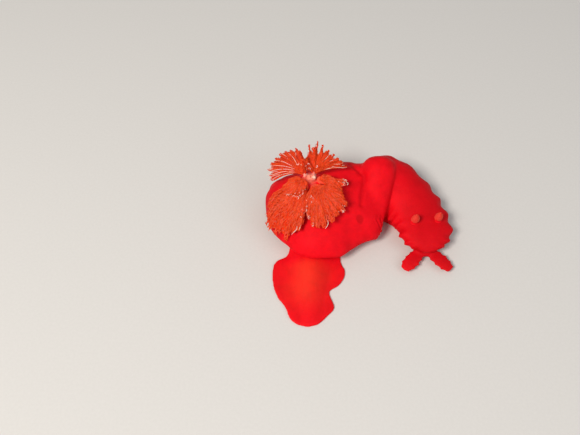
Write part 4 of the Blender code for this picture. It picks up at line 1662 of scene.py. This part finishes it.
@dataclass
class Studio:
    """The camera at the photo's angle, a key from its left, a weak fill from its right, a pale surround."""

    elevation: float = 55.0
    distance_mm: float = 690.0
    lens_mm: float = 42.0
    sensor_mm: float = 36.0
    picture: tuple = (580, 435)
    plan_origin_pixel: tuple = (346.0, 235.0)
    key: Lamp = Lamp("key_light", (-0.95, -1.0, 1.7), 0.6, 39.0, "#fffaf4")
    fill: Lamp = Lamp("fill_light", (1.3, -0.9, 1.3), 1.2, 7.0, "#f4f7ff")
    surround: str = "#f4f5f7"
    surround_strength: float = 0.42

    def camera(self) -> bpy.types.Object:
        """Sets the camera: it looks along +Y and down, with the plan's origin at its pixel of the picture.

        Returns:
            The camera.
        """
        tilt = math.radians(self.elevation)
        forward = np.array([0, math.cos(tilt), -math.sin(tilt)])
        up = np.array([0, math.sin(tilt), math.cos(tilt)])
        pixel_mm = self.distance_mm * self.sensor_mm / self.lens_mm / self.picture[0]
        right_mm = (self.plan_origin_pixel[0] - self.picture[0] / 2) * pixel_mm
        down_mm = (self.plan_origin_pixel[1] - self.picture[1] / 2) * pixel_mm
        place = -forward * self.distance_mm - np.array([right_mm, 0, 0]) + up * down_mm
        data = bpy.data.cameras.new("photo_camera")
        data.lens = self.lens_mm
        data.sensor_width = self.sensor_mm
        made = put_object("photo_camera", data)
        made.location = to_frame(place)
        made.rotation_euler = (math.pi / 2 - tilt, 0, 0)
        bpy.context.scene.camera = made
        return made

    def light(self) -> None:
        """Hangs the lights and sets the even pale surround."""
        self.key.build()
        self.fill.build()
        world = bpy.data.worlds.new("pale_surround")
        world.use_nodes = True
        back = world.node_tree.nodes["Background"]
        back.inputs["Color"].default_value = linear(self.surround)
        back.inputs["Strength"].default_value = self.surround_strength
        scene = bpy.context.scene
        scene.world = world
        scene.view_settings.view_transform = "Standard"


def gills(bed: GillBed) -> list[Gill]:
    """Describes the six gills, from the rear left one round to the right.

    Tips and hooks are places in plan millimetres; lines run from a and b to a and b on the plume's fan.

    Args:
        bed: what they spring from.

    Returns:
        The gills, not built yet.
    """
    rear_left = (
        (-76.1, 36.9, 42),
        (-79.6, 41.2, 44),
        (-78.8, 45.6, 48),
        (-76.9, 50.0, 52),
        (-72.5, 54.6, 56),
        (-67.3, 56.9, 60),
        (-62.3, 57.5, 64),
        (-56.4, 56.7, 67),
        (-50.0, 55.7, 70),
        (-45.3, 46.0, 72),
        (-42.5, 38.0, 69),
    )
    rear_right = (
        (-46.0, 38.5, 72),
        (-39.5, 58.2, 75),
        (-34.5, 54.5, 76),
        (-30.3, 60.1, 76),
        (-24.0, 56.9, 75),
        (-18.2, 52.3, 72),
        (-13.3, 49.3, 69),
        (-8.6, 47.0, 66),
        (-4.6, 44.1, 63),
        (-0.9, 41.3, 59),
    )
    left = (
        (-59.1, 28.4, 50.5),
        (-60.5, 25.0, 49.3),
        (-64.0, 21.8, 47.0),
        (-65.9, 18.0, 45.6),
        (-64.4, 12.8, 46.0),
        (-59.0, 9.2, 49.2),
        (-53.4, 8.7, 52.3),
        (-48.0, 7.4, 54.1),
        (-43.0, 10.0, 56.2),
        (-40.7, 16.5, 57.1),
    )
    front_left = (
        (-64.0, 20.4, 44.8),
        (-70.9, 18.5, 39.1),
        (-77.7, 21.8, 28.0),
        (-80.2, 16.2, 23.0),
        (-80.2, 6.2, 20.0),
        (-80.3, -3.2, 19.0),
        (-79.2, -9.2, 18.5),
        (-70.4, -14.8, 18.5),
        (-60.6, -22.7, 21.0),
        (-54.0, -22.5, 31.0),
        (-46.6, -22.5, 38.0),
        (-45.6, -15.5, 44.3),
        (-45.0, -5.0, 49.0),
    )
    front_right = (
        (-43.5, 2.4, 53.3),
        (-43.2, -6.0, 48.6),
        (-40.2, -14.2, 44.0),
        (-35.8, -21.2, 41.6),
        (-30.5, -23.7, 41.9),
        (-23.5, -24.4, 42.8),
        (-15.8, -18.5, 45.1),
        (-10.9, -12.4, 46.3),
        (-4.1, -8.1, 47.6),
        (-1.3, -0.6, 50.3),
        (-3.3, 6.1, 52.6),
        (-5.6, 11.2, 55.3),
    )
    right = (
        (-2.7, 2.7, 49.1),
        (-4.1, 7.2, 51.9),
        (-4.9, 13.8, 53.5),
        (-6.2, 19.7, 54.6),
        (-9.7, 24.0, 55.9),
        (-15.2, 28.2, 56.3),
        (-21.4, 30.9, 56.3),
    )
    tuft_tips = (
        (-8.2, 19.9, 56.7),
        (-2.8, 18.9, 57.2),
        (-1.3, 23.0, 58.0),
        (-4.2, 25.1, 58.2),
        (-6.9, 22.9, 57.6),
    )
    left_hooks = (
        (-53.4, 8.6, 53.9),
        (-50.0, 6.5, 54.6),
        (-46.9, 7.7, 56.0),
        (-43.0, 13.6, 58.7),
        (-45.1, 9.7, 57.3),
    )
    right_hooks = (
        (-37.2, 6.5, 56.8),
        (-35.1, 4.1, 56.0),
        (-37.1, 0.7, 55.1),
        (-32.8, 0.4, 55.5),
        (-42.8, -1.3, 53.0),
        (-44.5, -4.2, 51.8),
        (-44.7, -7.9, 49.8),
        (-45.9, -11.4, 48.3),
    )
    left_lines = (
        (0.1, 0.35, 0.0, 1.0),
        (0.9, 0.30, 0.7, 1.0),
        (1.7, 0.25, 1.6, 1.0),
        (2.6, 0.25, 2.6, 0.98),
        (3.5, 0.40, 3.6, 0.96),
        (6.1, 0.45, 6.3, 0.90),
        (0.5, 0.72, 0.35, 1.02),
        (1.3, 0.74, 1.2, 1.0),
        (5.1, 0.72, 5.2, 0.97),
        (7.2, 0.72, 7.3, 0.97),
    )
    right_lines = (
        (9.0, 0.30, 8.85, 0.62),
        (9.0, 0.60, 9.1, 0.98),
        (8.5, 0.55, 8.6, 0.98),
        (8.0, 0.70, 8.1, 0.97),
        (5.3, 0.55, 5.2, 0.95),
        (6.6, 0.66, 6.6, 0.96),
    )
    standing = {
        "bed": bed,
        "edge": Edge.SPIKY,
        "ruffle": 0.9,
        "side_length": 6.0,
        "stalk_paleness": 0.5,
        "fold_painted_shade": 0.6,
        "curl": 0.8,
        "rim_radius": 0.2,
        "teeth": 0.03,
    }
    full = {"bed": bed, "mains": 3, "side_branches": 15, "leaflets": 4, "scallop": ((0.0, 0.2),)}
    tuft = Gill(
        "tuft",
        around=4,
        rise=5,
        shoulder=0.6,
        tips=tuft_tips,
        seed=17,
        bed=bed,
        frost=((-1, 5, 0.7),),
        mains=1,
        side_branches=9,
        hooks=((-5.9, 20.8, 58.6), (-2.2, 20.2, 59.0), (-3.4, 23.6, 59.4)),
    )
    return [
        Gill(
            "gill_rear_left",
            around=130,
            rise=9,
            shoulder=0.4,
            tips=rear_left,
            seed=11,
            scallop=((0.0, 0.08),),
            mains=3,
            side_branches=15,
            leaflets=3,
            redness=0.25,
            rims=left_lines,
            frost=((0.2, 2.2, 0.4),),
            hooks=((-49.4, 36.6, 69.0), (-45.5, 35.4, 69.0), (-42.0, 35.2, 68.0)),
            **standing,
        ),
        Gill(
            "gill_rear_right",
            around=62,
            rise=11,
            shoulder=0.4,
            tips=rear_right,
            seed=12,
            scallop=((0.0, 0.12), (1.0, 0.3), (4.0, 0.3), (6.0, 0.12)),
            frost=((8.2, 9.25, 0.5),),
            rims=right_lines,
            hooks=((-39.2, 37.1, 68.0), (-31.3, 35.2, 67.0), (-38.4, 33.7, 65.0)),
            **standing,
        ),
        Gill(
            "gill_left",
            around=186,
            rise=9,
            shoulder=0.5,
            tips=left,
            seed=13,
            frost=((4.4, 8.5, 0.3),),
            hooks=left_hooks,
            **full,
        ),
        Gill(
            "gill_front_left",
            around=236,
            rise=5,
            shoulder=0.62,
            tips=front_left,
            seed=14,
            frost=((9.2, 12.4, 0.10),),
            rims=((8.95, 1.0, 9.35, 0.84), (10.0, 1.0, 10.75, 0.86)),
            **full,
        ),
        Gill(
            "gill_front_right",
            around=298,
            rise=7,
            shoulder=0.55,
            tips=front_right,
            seed=15,
            frost=((-0.4, 2.4, 0.3), (7.3, 8.6, 0.4)),
            rims=((2.9, 1.0, 3.2, 0.88), (5.0, 1.0, 5.45, 0.84)),
            hooks=right_hooks,
            **full,
        ),
        Gill(
            "gill_right",
            around=4,
            rise=6,
            shoulder=0.5,
            tips=right,
            seed=16,
            ribs=((1.8, 5.5, 0.15),),
            extra=tuft,
            **full,
        ),
    ]


def show(piece: bpy.types.Object, slot: str, *nodes: str) -> None:
    """Makes a piece part of the model: it rides on the body and stands for CAD nodes.

    Args:
        piece: the finished piece.
        slot: its material slot, which is not used.
        nodes: the nodes that it stands for.
    """
    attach(piece, "root")
    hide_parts(*nodes)
    LOG.info("%s stands for %s", piece.name, ", ".join(nodes))


def main() -> None:
    """Builds the studio and the animal, piece by piece."""
    studio = Studio()
    studio.camera()
    studio.light()
    PlainFloor().build()
    bed = GillBed()
    skin = BodySkin(Foot(), Mantle(), Head(), bed).build()
    flesh = ("tail", "foot_rear", "foot_front", "mantle_rear", "mantle_pleat", "mantle_front")
    show(skin, "skin", *flesh, "head", "oral_tentacle_left", "oral_tentacle_right", "gill_bed")
    show(bed.papilla(), "pale_flesh", "anal_papilla")
    for name, place in (("rhinophore_right", (65.5, -2.0)), ("rhinophore_left", (88.5, 0.5))):
        show(Rhinophore(name, place).build(), "skin", name)
    for gill in gills(bed):
        show(gill.build(), "gill", gill.name)
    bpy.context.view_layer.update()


if __name__ == "__main__":
    logging.basicConfig(level=logging.INFO, format="%(message)s")
    main()
